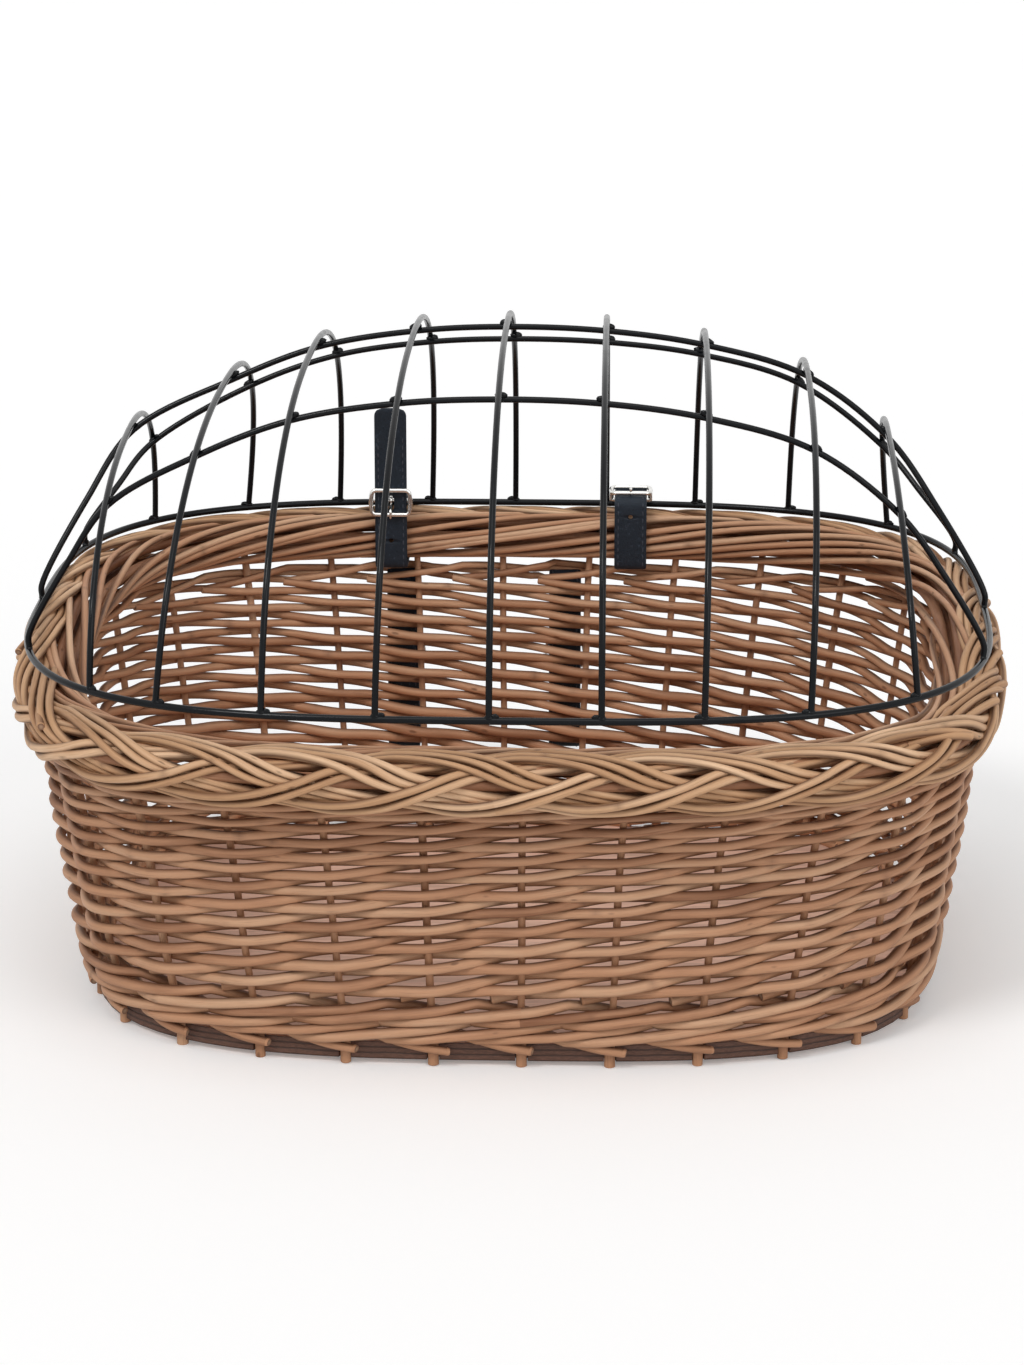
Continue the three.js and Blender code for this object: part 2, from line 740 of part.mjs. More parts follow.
function lidStrapPath(x, bar, curlAngles, ringAngles) {
  const { middle, borderY, ringY, overRing } = lidStrapLevels(x);
  const under = backWallTop + touchGap - inStrap;
  const down = [35, 10, -15, -40, -62, -78];
  const roundBorder = [borderRadial + inStrap, borderRise + inStrap];
  return [
    ...curlAngles.map((degrees) => aroundArc(bar, [curl, curl], degrees)),
    ...ringAngles.map((degrees) => aroundArc([ringY, ringHeight], [overRing, overRing], degrees)),
    ...down.map((degrees) => aroundArc([borderY, borderCentreHeight], roundBorder, degrees, borderFullness)),
    [borderY, under],
    [middle + 3, under],
    [middle + 0.8, under + 0.8],
    [middle, under + 3],
  ];
}

function addUprightStrap(side, x) {
  const { face, middle } = lidStrapLevels(x);
  const height = ringHeight + lidBuckleRise;
  const path = lidStrapPath(x, [face + buckleBack, height], [-80, -45, 0], [115, 80, 45, 10]);
  path.push([middle, ringHeight + lidStrapTail]);
  const strip = acrossWidth(stripShape(path, strapThickness), strapWidth, x);
  addStrap('lid', side, strip, [x, face, height], new THREE.Euler());
}

function addFoldedStrap(side, x) {
  const { middle, borderY } = lidStrapLevels(x);
  const height = ringHeight + flatBuckleRise;
  const barY = middle + flatBuckleInset;
  const path = lidStrapPath(x, [barY, height - buckleBack], [205, 235, 270], [80, 45, 10]);
  const run = height - strapThickness / 2;
  for (const degrees of [180, 150, 120, 90]) {
    path.push(aroundArc([middle + bendRadius, run - bendRadius], [bendRadius, bendRadius], degrees));
  }
  const behind = strapThickness + strapGap + inStrap;
  const tailTop = ringHeight + wireRadius + ringPlay + strapThickness + strapGap + inStrap;
  path.push([barY + buckleHalfHeight + bendRadius, run]);
  for (const degrees of [50, 25, 5, -15]) {
    const reach = [borderRadial + behind, tailTop - borderCentreHeight];
    path.push(aroundArc([borderY, borderCentreHeight], reach, degrees, borderFullness));
  }
  const strip = acrossWidth(stripShape(path, strapThickness), strapWidth, x);
  addStrap('lid', side, strip, [x, barY, height], new THREE.Euler(-Math.PI / 2, 0, 0));
}

addUprightStrap('left', lidStrapPlaces.left);
addFoldedStrap('right', lidStrapPlaces.right);

// Bar strap: a flat loop that hangs from the waling rods outside the back wall
function addBarStrap(side, x) {
  const { inner, outer, face } = barStrapRuns(x);
  const radius = (outer - inner) / 2;
  const centre = (outer + inner) / 2;
  const top = waleHeight + waleRise + inStrap - radius;
  const bottom = top - barStrapDrop;
  const track = (r, path) => {
    path.moveTo(centre + r, bottom);
    path.lineTo(centre + r, top);
    path.absarc(centre, top, r, 0, Math.PI);
    path.lineTo(centre - r, bottom);
    path.absarc(centre, bottom, r, Math.PI, 2 * Math.PI);
    return path;
  };
  const shape = track(radius + strapThickness / 2, new THREE.Shape());
  shape.holes.push(track(radius - strapThickness / 2, new THREE.Path()));
  const position = [x, face, waleHeight - barBuckleDrop];
  addStrap('bar', side, acrossWidth(shape, strapWidth, x), position, new THREE.Euler(0, 0, Math.PI));
}

for (const [side, x] of Object.entries(barStrapPlaces)) addBarStrap(side, x);

export default basket;
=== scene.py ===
"""Looks of a willow bicycle basket with a wire dome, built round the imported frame, in metres."""

import math

import bpy
import numpy as np
from bpy.props import FloatProperty, FloatVectorProperty, IntProperty, PointerProperty
from mathutils import Matrix, Vector


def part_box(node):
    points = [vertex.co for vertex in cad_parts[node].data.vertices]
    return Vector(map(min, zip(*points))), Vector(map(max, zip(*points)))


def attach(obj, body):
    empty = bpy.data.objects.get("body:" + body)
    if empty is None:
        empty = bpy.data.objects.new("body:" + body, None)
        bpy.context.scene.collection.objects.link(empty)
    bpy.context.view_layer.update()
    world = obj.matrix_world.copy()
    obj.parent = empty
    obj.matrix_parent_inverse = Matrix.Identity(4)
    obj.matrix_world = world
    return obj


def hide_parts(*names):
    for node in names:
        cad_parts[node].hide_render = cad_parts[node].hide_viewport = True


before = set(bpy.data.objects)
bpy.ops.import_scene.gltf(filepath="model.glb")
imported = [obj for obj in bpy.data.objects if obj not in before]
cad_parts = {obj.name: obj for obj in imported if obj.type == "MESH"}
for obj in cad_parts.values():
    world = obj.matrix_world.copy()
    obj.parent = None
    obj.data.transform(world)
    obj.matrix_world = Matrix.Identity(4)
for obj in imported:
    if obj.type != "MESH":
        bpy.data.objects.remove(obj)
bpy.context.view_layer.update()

bl_info = {
    "name": "Willow Bicycle Basket",
    "version": (1, 0, 0),
    "blender": (4, 5, 0),
    "location": "3D View > Sidebar > Basket",
    "description": "Builds a woven willow basket with a plaited border, a wire dome and leather straps",
    "category": "Add Mesh",
}

MM = 0.001

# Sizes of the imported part, with lengths in millimetres
STAKES = 30
SQUARENESS = 3.2
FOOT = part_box("foot_wale")[0].z / MM
RING_HEIGHT = (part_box("lid_ring")[0].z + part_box("lid_ring")[1].z) / 2 / MM
FLARE_SHARES = (0, 0.3, 0.8, 1)
END_FLARE = (0, 8, 18, 21)
SIDE_FLARE = (0, 8, 19, 28)
BOARD_HALF = (215, 168)
WALL_INSET = 1
STAKE_SHIFT = 11
STAKE_OUTSET = 5
BORDER_HALF = (234, 203)
BORDER_SECTION = (19, 14)
BORDER_FULLNESS = 2.5
BORDER_HEIGHT = 175.3
FRONT_DIP = 15
DIP_FROM, DIP_TO = 20, -130
RING_HALF = (243, 210)
RING_BACK = -3
TOUCH = 0.3
STRAP_GAP = 0.4
LID_STRAPS = {"left": -74.5, "right": 60}
BAR_STRAPS = {"left": -69, "right": 23}

# Points round each kind of section, and along the outlines and the rods
ROD_SIDES = 12
CORE_SIDES = 8
WIRE_SIDES = 16
BUCKLE_SIDES = 14
STRAP_SIDES = 24
OUTLINE_SAMPLES = 1440
OUTLINE_REACH = 0.002
WALL_REACH = 0.003
WALL_SHARES = (-0.1, 1.1)
BAY_STEPS = 12
PLAIT_STEPS = 440
CORE_STEPS = 240
RING_STEPS = 480
BAY_LENGTH = 47


# Paths and outlines


def supercurve(share, fullness):
    """Height of a squared arch of unit size at a share of its half width."""
    return (1 - np.minimum(1, np.abs(share)) ** fullness) ** (1 / fullness)


def signed_power(value, power):
    return np.sign(value) * np.abs(value) ** power


def ease(share):
    """A share that leaves 0 and reaches 1 gently."""
    return share * share * (3 - 2 * share)


def unit(steps):
    return steps / np.linalg.norm(steps, axis=-1, keepdims=True)


def right_of(steps):
    """The level direction to the right of each step, which points out of the basket."""
    return np.stack([steps[..., 1], -steps[..., 0]], -1)


def directions(path, closed):
    """The unit direction of travel at each point of a path."""
    return unit(np.roll(path, -1, 0) - np.roll(path, 1, 0) if closed else np.gradient(path, axis=0))


def run_lengths(path):
    """The distance along a path at each of its points."""
    return np.concatenate([[0], np.cumsum(np.linalg.norm(np.diff(path, axis=0), axis=1))])


def read_path(path, lengths, at):
    """The points of a path at distances along it."""
    return np.stack([np.interp(at, lengths, column) for column in path.T], -1)


def even_path(path, step):
    """A path with its points about one step apart."""
    lengths = run_lengths(path)
    count = max(2, round(lengths[-1] / step) + 1)
    return read_path(path, lengths, np.linspace(0, lengths[-1], count))


def smooth_path(points, per_span):
    """A centripetal Catmull-Rom curve through points."""
    points = np.asarray(points, float)
    padded = np.concatenate([[2 * points[0] - points[1]], points, [2 * points[-1] - points[-2]]])
    rows = []
    for i in range(len(points) - 1):
        p = padded[i:i + 4]
        gaps = np.sqrt(np.linalg.norm(np.diff(p, axis=0), axis=1)) + 1e-9
        t0, t1, t2, t3 = np.concatenate([[0], np.cumsum(gaps)])
        last = i == len(points) - 2
        t = np.linspace(t1, t2, per_span + 1)[: None if last else -1, None]
        a1 = (t1 - t) / (t1 - t0) * p[0] + (t - t0) / (t1 - t0) * p[1]
        a2 = (t2 - t) / (t2 - t1) * p[1] + (t - t1) / (t2 - t1) * p[2]
        a3 = (t3 - t) / (t3 - t2) * p[2] + (t - t2) / (t3 - t2) * p[3]
        b1 = (t2 - t) / (t2 - t0) * a1 + (t - t0) / (t2 - t0) * a2
        b2 = (t3 - t) / (t3 - t1) * a2 + (t - t1) / (t3 - t1) * a3
        rows.append((t2 - t) / (t2 - t1) * b1 + (t - t1) / (t2 - t1) * b2)
    return np.concatenate(rows)


class Outline:
    """A squared oval read by the share of the way round it, from the front middle towards +X."""

    def __init__(self, half_width, half_depth):
        angle = np.linspace(-math.pi / 2, 1.5 * math.pi, OUTLINE_SAMPLES + 1)
        across, along = (signed_power(wave, 2 / SQUARENESS) for wave in (np.cos(angle), np.sin(angle)))
        self.points = np.stack([half_width * across, half_depth * along], 1)
        self.lengths = run_lengths(self.points)
        self.total = self.lengths[-1]

    def at(self, turn):
        return read_path(self.points, self.lengths, np.mod(turn, 1) * self.total)

    def ahead(self, turn):
        return unit(self.at(turn + OUTLINE_REACH) - self.at(turn - OUTLINE_REACH))

    def outward(self, turn):
        return right_of(self.ahead(turn))


def border_centre(y):
    """Height of the border's middle, which sinks towards the front."""
    return BORDER_HEIGHT - FRONT_DIP * ease(np.clip((DIP_FROM - y) / (DIP_FROM - DIP_TO), 0, 1))


def wall_top(y):
    return border_centre(y) - BORDER_SECTION[1] - TOUCH


class Wall:
    """The middle surface of the woven wall, read by turn and by share of its height."""

    def __init__(self):
        flares = [np.polyfit(FLARE_SHARES, flare, 3) for flare in (END_FLARE, SIDE_FLARE)]
        self.shares = np.linspace(*WALL_SHARES, 49)
        self.turns = np.linspace(0, 1, 1201)
        rows = []
        for share in self.shares:
            held = min(max(share, 0), 1.05)
            half = [size + np.polyval(flare, held) - WALL_INSET for size, flare in zip(BOARD_HALF, flares)]
            rows.append(Outline(*half).at(self.turns))
        self.grid = np.array(rows)
        self.phase = STAKE_SHIFT / Outline(*(size + STAKE_OUTSET for size in BOARD_HALF)).total

    def middle(self, turn, share):
        low, high = WALL_SHARES
        column = np.mod(turn, 1) * (len(self.turns) - 1)
        row = (np.clip(share, low, high) - low) / (high - low) * (len(self.shares) - 1)
        c0 = np.minimum(column.astype(int), len(self.turns) - 2)
        r0 = np.minimum(row.astype(int), len(self.shares) - 2)
        fc = (column - c0)[..., None]
        fr = (row - r0)[..., None]
        below = self.grid[r0, c0] * (1 - fc) + self.grid[r0, c0 + 1] * fc
        above = self.grid[r0 + 1, c0] * (1 - fc) + self.grid[r0 + 1, c0 + 1] * fc
        return below * (1 - fr) + above * fr

    def place(self, turn, share, out=0.0, up=0.0):
        """Points in millimetres at a distance out from the middle surface."""
        turn, share, out, up = np.broadcast_arrays(*(np.asarray(v, float) for v in (turn, share, out, up)))
        xy = self.middle(turn, share)
        ahead = unit(self.middle(turn + WALL_REACH, share) - self.middle(turn - WALL_REACH, share))
        z = FOOT + share * (wall_top(xy[..., 1]) - FOOT) + up
        return np.concatenate([xy + right_of(ahead) * out[..., None], z[..., None]], -1)

    def stake_turn(self, position):
        return self.phase + position / STAKES


WALL = Wall()


def smooth_noise(rng, length, wave, size=1.0):
    """Gentle wandering values, one for each sample, with a wave of that many samples."""
    knots = rng.normal(0, 1, int(length / wave) + 3) * size
    at = np.arange(length) / wave
    low = at.astype(int)
    share = ease(at - low)
    return knots[low] * (1 - share) + knots[low + 1] * share


def closed_noise(rng, length, waves, size=1.0):
    """Wandering values that join up after the last sample."""
    angle = np.arange(length) / length * 2 * math.pi
    total = np.zeros(length)
    for count in waves:
        total += rng.normal(0, 1) * np.sin(count * angle + rng.uniform(0, 6.3))
    return total * size / math.sqrt(len(waves))


def knots_along(rng, count, step, spacing=95):
    """Swelling at a willow rod's nodes: up to 1 at a node and 0 elsewhere. Lengths are in millimetres."""
    marks = np.zeros(count)
    at = rng.uniform(0, spacing)
    while at < count * step:
        marks[min(count - 1, int(at / step))] = rng.uniform(0.5, 1)
        at += spacing * rng.uniform(0.5, 1.6)
    return marks


# Mesh building

CUT_SHARE = 0.82
PLAIN_TONE = 0.5
TONE_SHIFT = 7.3
# Painted crevice shade starts where the rod's side turns this far towards a touching rod
CREVICE_SHADE_FROM = 0.74
STRAP_EDGE = 0.985


class Pile:
    """Gathers tubes and other forms into one mesh with a surface UV and a rod attribute.

    The attribute holds tone, cut end, knot and painted crevice shade. The UV is in metres, along and around.
    """

    def __init__(self):
        self.points, self.uvs, self.marks, self.faces, self.count = [], [], [], [], 0

    def add(self, points, faces, uvs, marks):
        """Takes points in millimetres with their marks, and faces with a UV in metres at each corner."""
        self.points.append(points * MM)
        self.marks.append(marks)
        self.faces.extend([[corner + self.count for corner in face] for face in faces])
        self.uvs.append(np.asarray(uvs, float).reshape(-1, 2))
        self.count += len(points)

    def sleeve(self, path, rings, across, shift, marks, closed):
        """Joins rings of points along a path, with UVs along the path and across each ring."""
        count, sides = rings.shape[:2]
        i, j = np.meshgrid(np.arange(count if closed else count - 1), np.arange(sides), indexing="ij")
        k, n = (i + 1) % count, (j + 1) % sides
        quads = np.stack([i * sides + j, k * sides + j, k * sides + n, i * sides + n], -1)
        lengths = run_lengths(np.concatenate([path, path[:1]])) + shift
        left, right = lengths[i], lengths[i + 1]
        corners = [(left, across[j]), (right, across[j]), (right, across[j + 1]), (left, across[j + 1])]
        uvs = np.stack([np.stack(corner, -1) for corner in corners], 2) * MM
        self.add(rings.reshape(-1, 3), quads.reshape(-1, 4).tolist(), uvs, marks.reshape(-1, 4))

    def tube(self, path, radius, tone=PLAIN_TONE, closed=False, ref=(0, 0, 1), knots=None,
             bevel=0.25, slant=0.0, crevice_shade=0.0, sides=ROD_SIDES):
        """A round rod along a path in millimetres, with cut ends where it is open, square or slanting.

        A painted crevice shade darkens the two sides of the rod that lie towards and away from ref, where
        rods touch and shade falls.
        """
        path = np.asarray(path, float)
        count = len(path)
        radius = np.broadcast_to(np.asarray(radius, float), (count,))
        step = directions(path, closed)
        side = unit(np.cross(step, np.broadcast_to(np.asarray(ref, float), (count, 3))))
        up = np.cross(side, step)
        angle = np.arange(sides) / sides * 2 * math.pi
        ring = np.cos(angle)[None, :, None] * side[:, None] + np.sin(angle)[None, :, None] * up[:, None]
        rings = path[:, None] + ring * radius[:, None, None]
        lean = (np.cos(angle)[:, None] * radius[-1] * slant) * step[-1]
        rings[-1] += lean
        marks = np.zeros((count, sides, 4))
        marks[..., 0] = tone
        marks[..., 2] = 0 if knots is None else knots[:, None]
        # Painted shade in the crevices on the two sides that face touching rods
        marks[..., 3] = crevice_shade * np.clip((np.abs(np.sin(angle)) - CREVICE_SHADE_FROM) / (1 - CREVICE_SHADE_FROM), 0, 1)
        girth = 2 * math.pi * radius.mean() / sides
        shift = tone * TONE_SHIFT
        self.sleeve(path, rings, np.arange(sides + 1) * girth, shift / MM, marks, closed)
        for end, sign in () if closed else ((0, -1), (count - 1, 1)):
            tilt = lean if sign > 0 else np.zeros_like(lean)
            centre = path[end] + step[end] * sign * radius[end] * bevel
            rim = path[end] + ring[end] * radius[end] + tilt
            lip = centre + ring[end] * radius[end] * CUT_SHARE + tilt * CUT_SHARE
            mark = np.zeros((3 * sides + 1, 4))
            mark[:, 0] = tone
            mark[2 * sides:, 1] = 1
            mark[-1, 2] = 1
            faces = []
            for a in range(sides):
                b = (a + 1) % sides
                pair = [[a, b, sides + b, sides + a], [2 * sides + a, 2 * sides + b, 3 * sides]]
                faces += [face[::-1] for face in pair] if sign > 0 else pair
            self.add(np.concatenate([rim, lip, lip, centre[None]]), faces, [(shift, 0)] * 7 * sides, mark)

    def ellipsoid(self, centre, axes, sizes, rng=None, rings=7, sides=12, rough=0.0):
        """A rounded lump, with its three axes as rows of a matrix and half sizes in millimetres."""
        centre, axes, sizes = (np.asarray(v, float) for v in (centre, axes, sizes))
        ball = [[0, 0, 1]]
        for p in np.linspace(0, math.pi, rings + 1)[1:-1]:
            around = [a / sides * 2 * math.pi for a in range(sides)]
            ball += [[math.sin(p) * math.cos(a), math.sin(p) * math.sin(a), math.cos(p)] for a in around]
        ball = np.array(ball + [[0, 0, -1]])
        swell = 1 if rng is None else 1 + rng.normal(0, rough, len(ball))[:, None]
        last = 1 + (rings - 2) * sides
        pairs = [(a, (a + 1) % sides) for a in range(sides)]
        faces = [[0, 1 + a, 1 + b] for a, b in pairs]
        for low in range(1, last, sides):
            high = low + sides
            faces += [[low + a, high + a, high + b, low + b] for a, b in pairs]
        faces += [[last + a, len(ball) - 1, last + b] for a, b in pairs]
        marks = np.zeros((len(ball), 4))
        marks[:, 0] = PLAIN_TONE
        uvs = [(ball[v][0] * sizes[0] * MM, ball[v][2] * sizes[2] * MM) for face in faces for v in face]
        self.add(centre + (ball * sizes * swell) @ axes, faces, uvs, marks)

    def strip(self, path, width, thickness, x, tail, closed):
        """A strap of rounded section along a path of (y, z) points at x, with a rounded tail."""
        step = directions(path, closed)
        normal = np.stack([-step[:, 1], step[:, 0]], 1)
        angle = np.arange(STRAP_SIDES) / STRAP_SIDES * 2 * math.pi
        across = signed_power(np.cos(angle), 2 / 9) * width / 2
        through = signed_power(np.sin(angle), 2 / 3) * thickness / 2
        share = np.ones(len(path))
        if tail:
            lengths = run_lengths(path)
            into = np.clip((lengths - (lengths[-1] - tail)) / tail, 0, 1)
            share = 1 - 2 * tail / width * (1 - np.sqrt(1 - into * into))
        points = np.zeros((len(path), STRAP_SIDES, 3))
        points[..., 0] = x + across[None] * share[:, None]
        points[..., 1:] = path[:, None] + normal[:, None] * through[None, :, None]
        marks = np.zeros((len(path), STRAP_SIDES, 4))
        marks[..., 0] = PLAIN_TONE
        marks[:, np.abs(np.cos(angle)) > STRAP_EDGE, 1] = 1
        base = self.count
        self.sleeve(path, points, np.append(across, across[0]), 0, marks, closed)
        for row in () if closed else (0, len(path) - 1):
            loop = [base + row * STRAP_SIDES + a for a in range(STRAP_SIDES)]
            self.faces.append(loop[::-1] if row else loop)
            self.uvs.append(np.zeros((STRAP_SIDES, 2)))

    def build(self, name):
        mesh = bpy.data.meshes.new(name)
        mesh.from_pydata(np.concatenate(self.points).tolist(), [], self.faces)
        layer = mesh.uv_layers.new(name="surface")
        layer.data.foreach_set("uv", np.concatenate(self.uvs).astype(np.float32).ravel())
        marks = mesh.attributes.new("rod", "FLOAT_COLOR", "POINT")
        marks.data.foreach_set("color", np.concatenate(self.marks).astype(np.float32).ravel())
        mesh.shade_smooth()
        piece = bpy.data.objects.new(name, mesh)
        bpy.context.scene.collection.objects.link(piece)
        return piece


def finish_piece(piece, look, body, nodes=()):
    """Gives a piece its material, the body that carries it and the nodes that it replaces."""
    piece.data.materials.append(material(look))
    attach(piece, body)
    if nodes:
        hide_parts(*nodes)


# Materials

COLOUR, NUMBER = "NodeSocketColor", "NodeSocketFloat"
SPECK_COLOUR = (0.10, 0.045, 0.025)
SCAR_COLOUR = (0.17, 0.08, 0.045)
# Dark brown of the painted shade in the crevices between touching rods
CREVICE_SHADE_COLOUR = (0.062, 0.018, 0.006)
CUT_RIM_COLOUR = (0.20, 0.10, 0.06)
CUT_HEART_COLOUR = (0.44, 0.29, 0.19)
PLY = 0.003
FLOOR_GLOW = 0.19


class Tree:
    """Short names for making and joining shader nodes."""

    def __init__(self, tree):
        self.tree = tree

    def node(self, kind, **values):
        made = self.tree.nodes.new(kind)
        for key, value in values.items():
            setattr(made, key, value)
        return made

    def join(self, source, target):
        self.tree.links.new(source, target)

    def feed(self, socket, value):
        """Joins a socket to another one, or gives it a plain value."""
        if hasattr(value, "links"):
            self.join(value, socket)
        else:
            socket.default_value = value

    def fill(self, node, values):
        """Feeds the named inputs of a node."""
        for label, value in values.items():
            self.feed(node.inputs[label], value)

    def math(self, operation, *values):
        made = self.node("ShaderNodeMath", operation=operation)
        for socket, value in zip(made.inputs, values):
            self.feed(socket, value)
        return made.outputs[0]

    def plus(self, a, b):
        return self.math("ADD", a, b)

    def minus(self, a, b):
        return self.math("SUBTRACT", a, b)

    def times(self, a, b):
        return self.math("MULTIPLY", a, b)

    def mix(self, share, a, b):
        made = self.node("ShaderNodeMix", data_type="RGBA")
        self.feed(made.inputs[0], share)
        for index, value in ((6, a), (7, b)):
            self.feed(made.inputs[index], value if hasattr(value, "links") else (*value[:3], 1))
        return made.outputs[2]

    def ramp(self, source, low, high, start=0.0, end=1.0):
        made = self.node("ShaderNodeMapRange", interpolation_type="SMOOTHSTEP")
        for socket, value in zip(made.inputs, (source, low, high, start, end)):
            self.feed(socket, value)
        return made.outputs[0]

    def stretched(self, vector, scale):
        made = self.node("ShaderNodeMapping")
        self.fill(made, {"Scale": scale, "Vector": vector})
        return made.outputs[0]

    def noise(self, vector, scale, detail, roughness):
        """Noise of one scale, or of a scale for each axis."""
        if isinstance(scale, tuple):
            vector, scale = self.stretched(vector, scale), 1.0
        made = self.node("ShaderNodeTexNoise")
        self.fill(made, {"Scale": scale, "Detail": detail, "Roughness": roughness, "Vector": vector})
        return made.outputs["Fac"]

    def place(self):
        return self.node("ShaderNodeTexCoord").outputs["Object"]

    def separate(self, kind, source):
        made = self.node(kind)
        self.join(source, made.inputs[0])
        return made.outputs

    def rod_marks(self):
        """Tone, cut end, knot and painted crevice shade, as the pile gives them."""
        marks = self.node("ShaderNodeAttribute", attribute_name="rod", attribute_type="GEOMETRY")
        return *self.separate("ShaderNodeSeparateColor", marks.outputs["Color"]), marks.outputs["Alpha"]

    def wear(self, scale, scuff_share):
        made = self.node("ShaderNodeGroup", node_tree=wear_group())
        self.fill(made, {"Scale": scale, "Scuff Share": scuff_share})
        return made.outputs

    def bump(self, shader, height, distance, strength):
        made = self.node("ShaderNodeBump")
        self.fill(made, {"Strength": strength, "Distance": distance, "Height": height})
        self.join(made.outputs[0], shader.inputs["Normal"])


def new_group(name, inputs, outputs):
    group = bpy.data.node_groups.new(name, "ShaderNodeTree")
    for label, kind, default in inputs:
        socket = group.interface.new_socket(name=label, in_out="INPUT", socket_type=kind)
        socket.default_value = default
    for label, kind in outputs:
        group.interface.new_socket(name=label, in_out="OUTPUT", socket_type=kind)
    tree = Tree(group)
    return group, tree, tree.node("NodeGroupInput").outputs, tree.node("NodeGroupOutput")


def willow_group():
    """Streaks, blotches, knots and cut ends of a peeled willow rod, with painted shade in the crevices where
    rods touch.
    """
    name = "Willow Rod Surface"
    if name in bpy.data.node_groups:
        return bpy.data.node_groups[name]
    group, tree, given, result = new_group(
        name,
        [("Dark", COLOUR, (0.2, 0.1, 0.05, 1)), ("Middle", COLOUR, (0.5, 0.3, 0.2, 1)),
         ("Pale", COLOUR, (0.7, 0.5, 0.3, 1)), ("Streak Strength", NUMBER, 0.5)],
        [("Colour", COLOUR), ("Roughness", NUMBER), ("Height", NUMBER)],
    )
    uv = tree.node("ShaderNodeUVMap", uv_map="surface").outputs[0]
    tone, cut, knot, crevice_shade = tree.rod_marks()
    streaks = tree.noise(uv, (45, 1500, 1), 4, 0.6)
    patches = tree.noise(uv, (26, 130, 1), 3, 0.5)
    drift = tree.noise(uv, (5, 6, 1), 2, 0.5)
    fibre = tree.noise(uv, (160, 5200, 1), 2, 0.5)
    level = tree.plus(tree.times(tone, 0.62), tree.times(drift, 0.55))
    level = tree.plus(level, tree.times(tree.minus(patches, 0.5), 0.5))
    level = tree.minus(level, 0.09)
    body = tree.mix(tree.ramp(level, 0.12, 0.52), given["Dark"], given["Middle"])
    body = tree.mix(tree.ramp(level, 0.46, 0.92), body, given["Pale"])
    thin = tree.times(tree.ramp(streaks, 0.54, 0.74), given["Streak Strength"])
    body = tree.mix(thin, body, given["Dark"])
    body = tree.mix(tree.times(tree.ramp(fibre, 0.6, 0.8), 0.22), body, given["Dark"])
    specks = tree.node("ShaderNodeTexVoronoi", feature="F1")
    tree.fill(specks, {"Vector": tree.stretched(uv, (42, 110, 1)), "Scale": 1.0})
    speck = tree.ramp(specks.outputs["Distance"], 0.045, 0.12, 1.0, 0.0)
    body = tree.mix(tree.times(speck, 0.55), body, SPECK_COLOUR)
    body = tree.mix(tree.times(knot, tree.ramp(patches, 0.42, 0.6, 0.0, 0.55)), body, SCAR_COLOUR)
    # Painted shade in the crevices where rods touch, stronger in some patches
    body = tree.mix(tree.times(crevice_shade, tree.ramp(patches, 0.25, 0.7, 0.62, 0.95)), body, CREVICE_SHADE_COLOUR)
    rough = tree.plus(tree.times(streaks, 0.22), 0.44)
    height = tree.plus(tree.times(streaks, 0.55), tree.times(patches, 0.6))
    height = tree.plus(height, tree.times(fibre, 0.2))
    tree.fill(result, {
        "Colour": tree.mix(cut, body, tree.mix(knot, CUT_RIM_COLOUR, CUT_HEART_COLOUR)),
        "Roughness": tree.plus(rough, tree.times(cut, 0.3)),
        "Height": tree.minus(height, tree.times(speck, 0.8)),
    })
    return group


def wear_group():
    """Fine scuffs and dust for painted, plated and leather surfaces, from the mesh's own place."""
    name = "Surface Wear"
    if name in bpy.data.node_groups:
        return bpy.data.node_groups[name]
    group, tree, given, result = new_group(
        name, [("Scale", NUMBER, 200.0), ("Scuff Share", NUMBER, 0.5)],
        [("Scuffs", NUMBER), ("Dust", NUMBER), ("Height", NUMBER)],
    )
    scaled = tree.node("ShaderNodeVectorMath", operation="SCALE")
    tree.join(tree.place(), scaled.inputs[0])
    tree.join(given["Scale"], scaled.inputs["Scale"])
    fine = tree.noise(scaled.outputs[0], 1.0, 5, 0.65)
    broad = tree.noise(scaled.outputs[0], 0.13, 3, 0.5)
    scuffs = tree.times(tree.ramp(fine, 0.56, 0.72), tree.ramp(broad, 0.42, 0.62))
    scuffs = tree.times(scuffs, given["Scuff Share"])
    tree.fill(result, {"Scuffs": scuffs, "Dust": tree.ramp(broad, 0.35, 0.75), "Height": fine})
    return group


def shaded(colour, times, plus=0.0):
    return [channel * times + plus for channel in colour]


def willow_look(kind, streaks):
    """The look of willow rods in the tones of one kind, willow or border."""

    def look(tree, shader, tones):
        group = tree.node("ShaderNodeGroup", node_tree=willow_group())
        for label in ("Dark", "Middle", "Pale"):
            group.inputs[label].default_value = (*getattr(tones, f"{kind}_{label.lower()}"), 1)
        group.inputs["Streak Strength"].default_value = streaks
        tree.fill(shader, {
            "Base Color": group.outputs["Colour"], "Roughness": group.outputs["Roughness"],
            "Specular IOR Level": 0.3,
        })
        tree.bump(shader, group.outputs["Height"], 0.0005, 0.7)

    return look


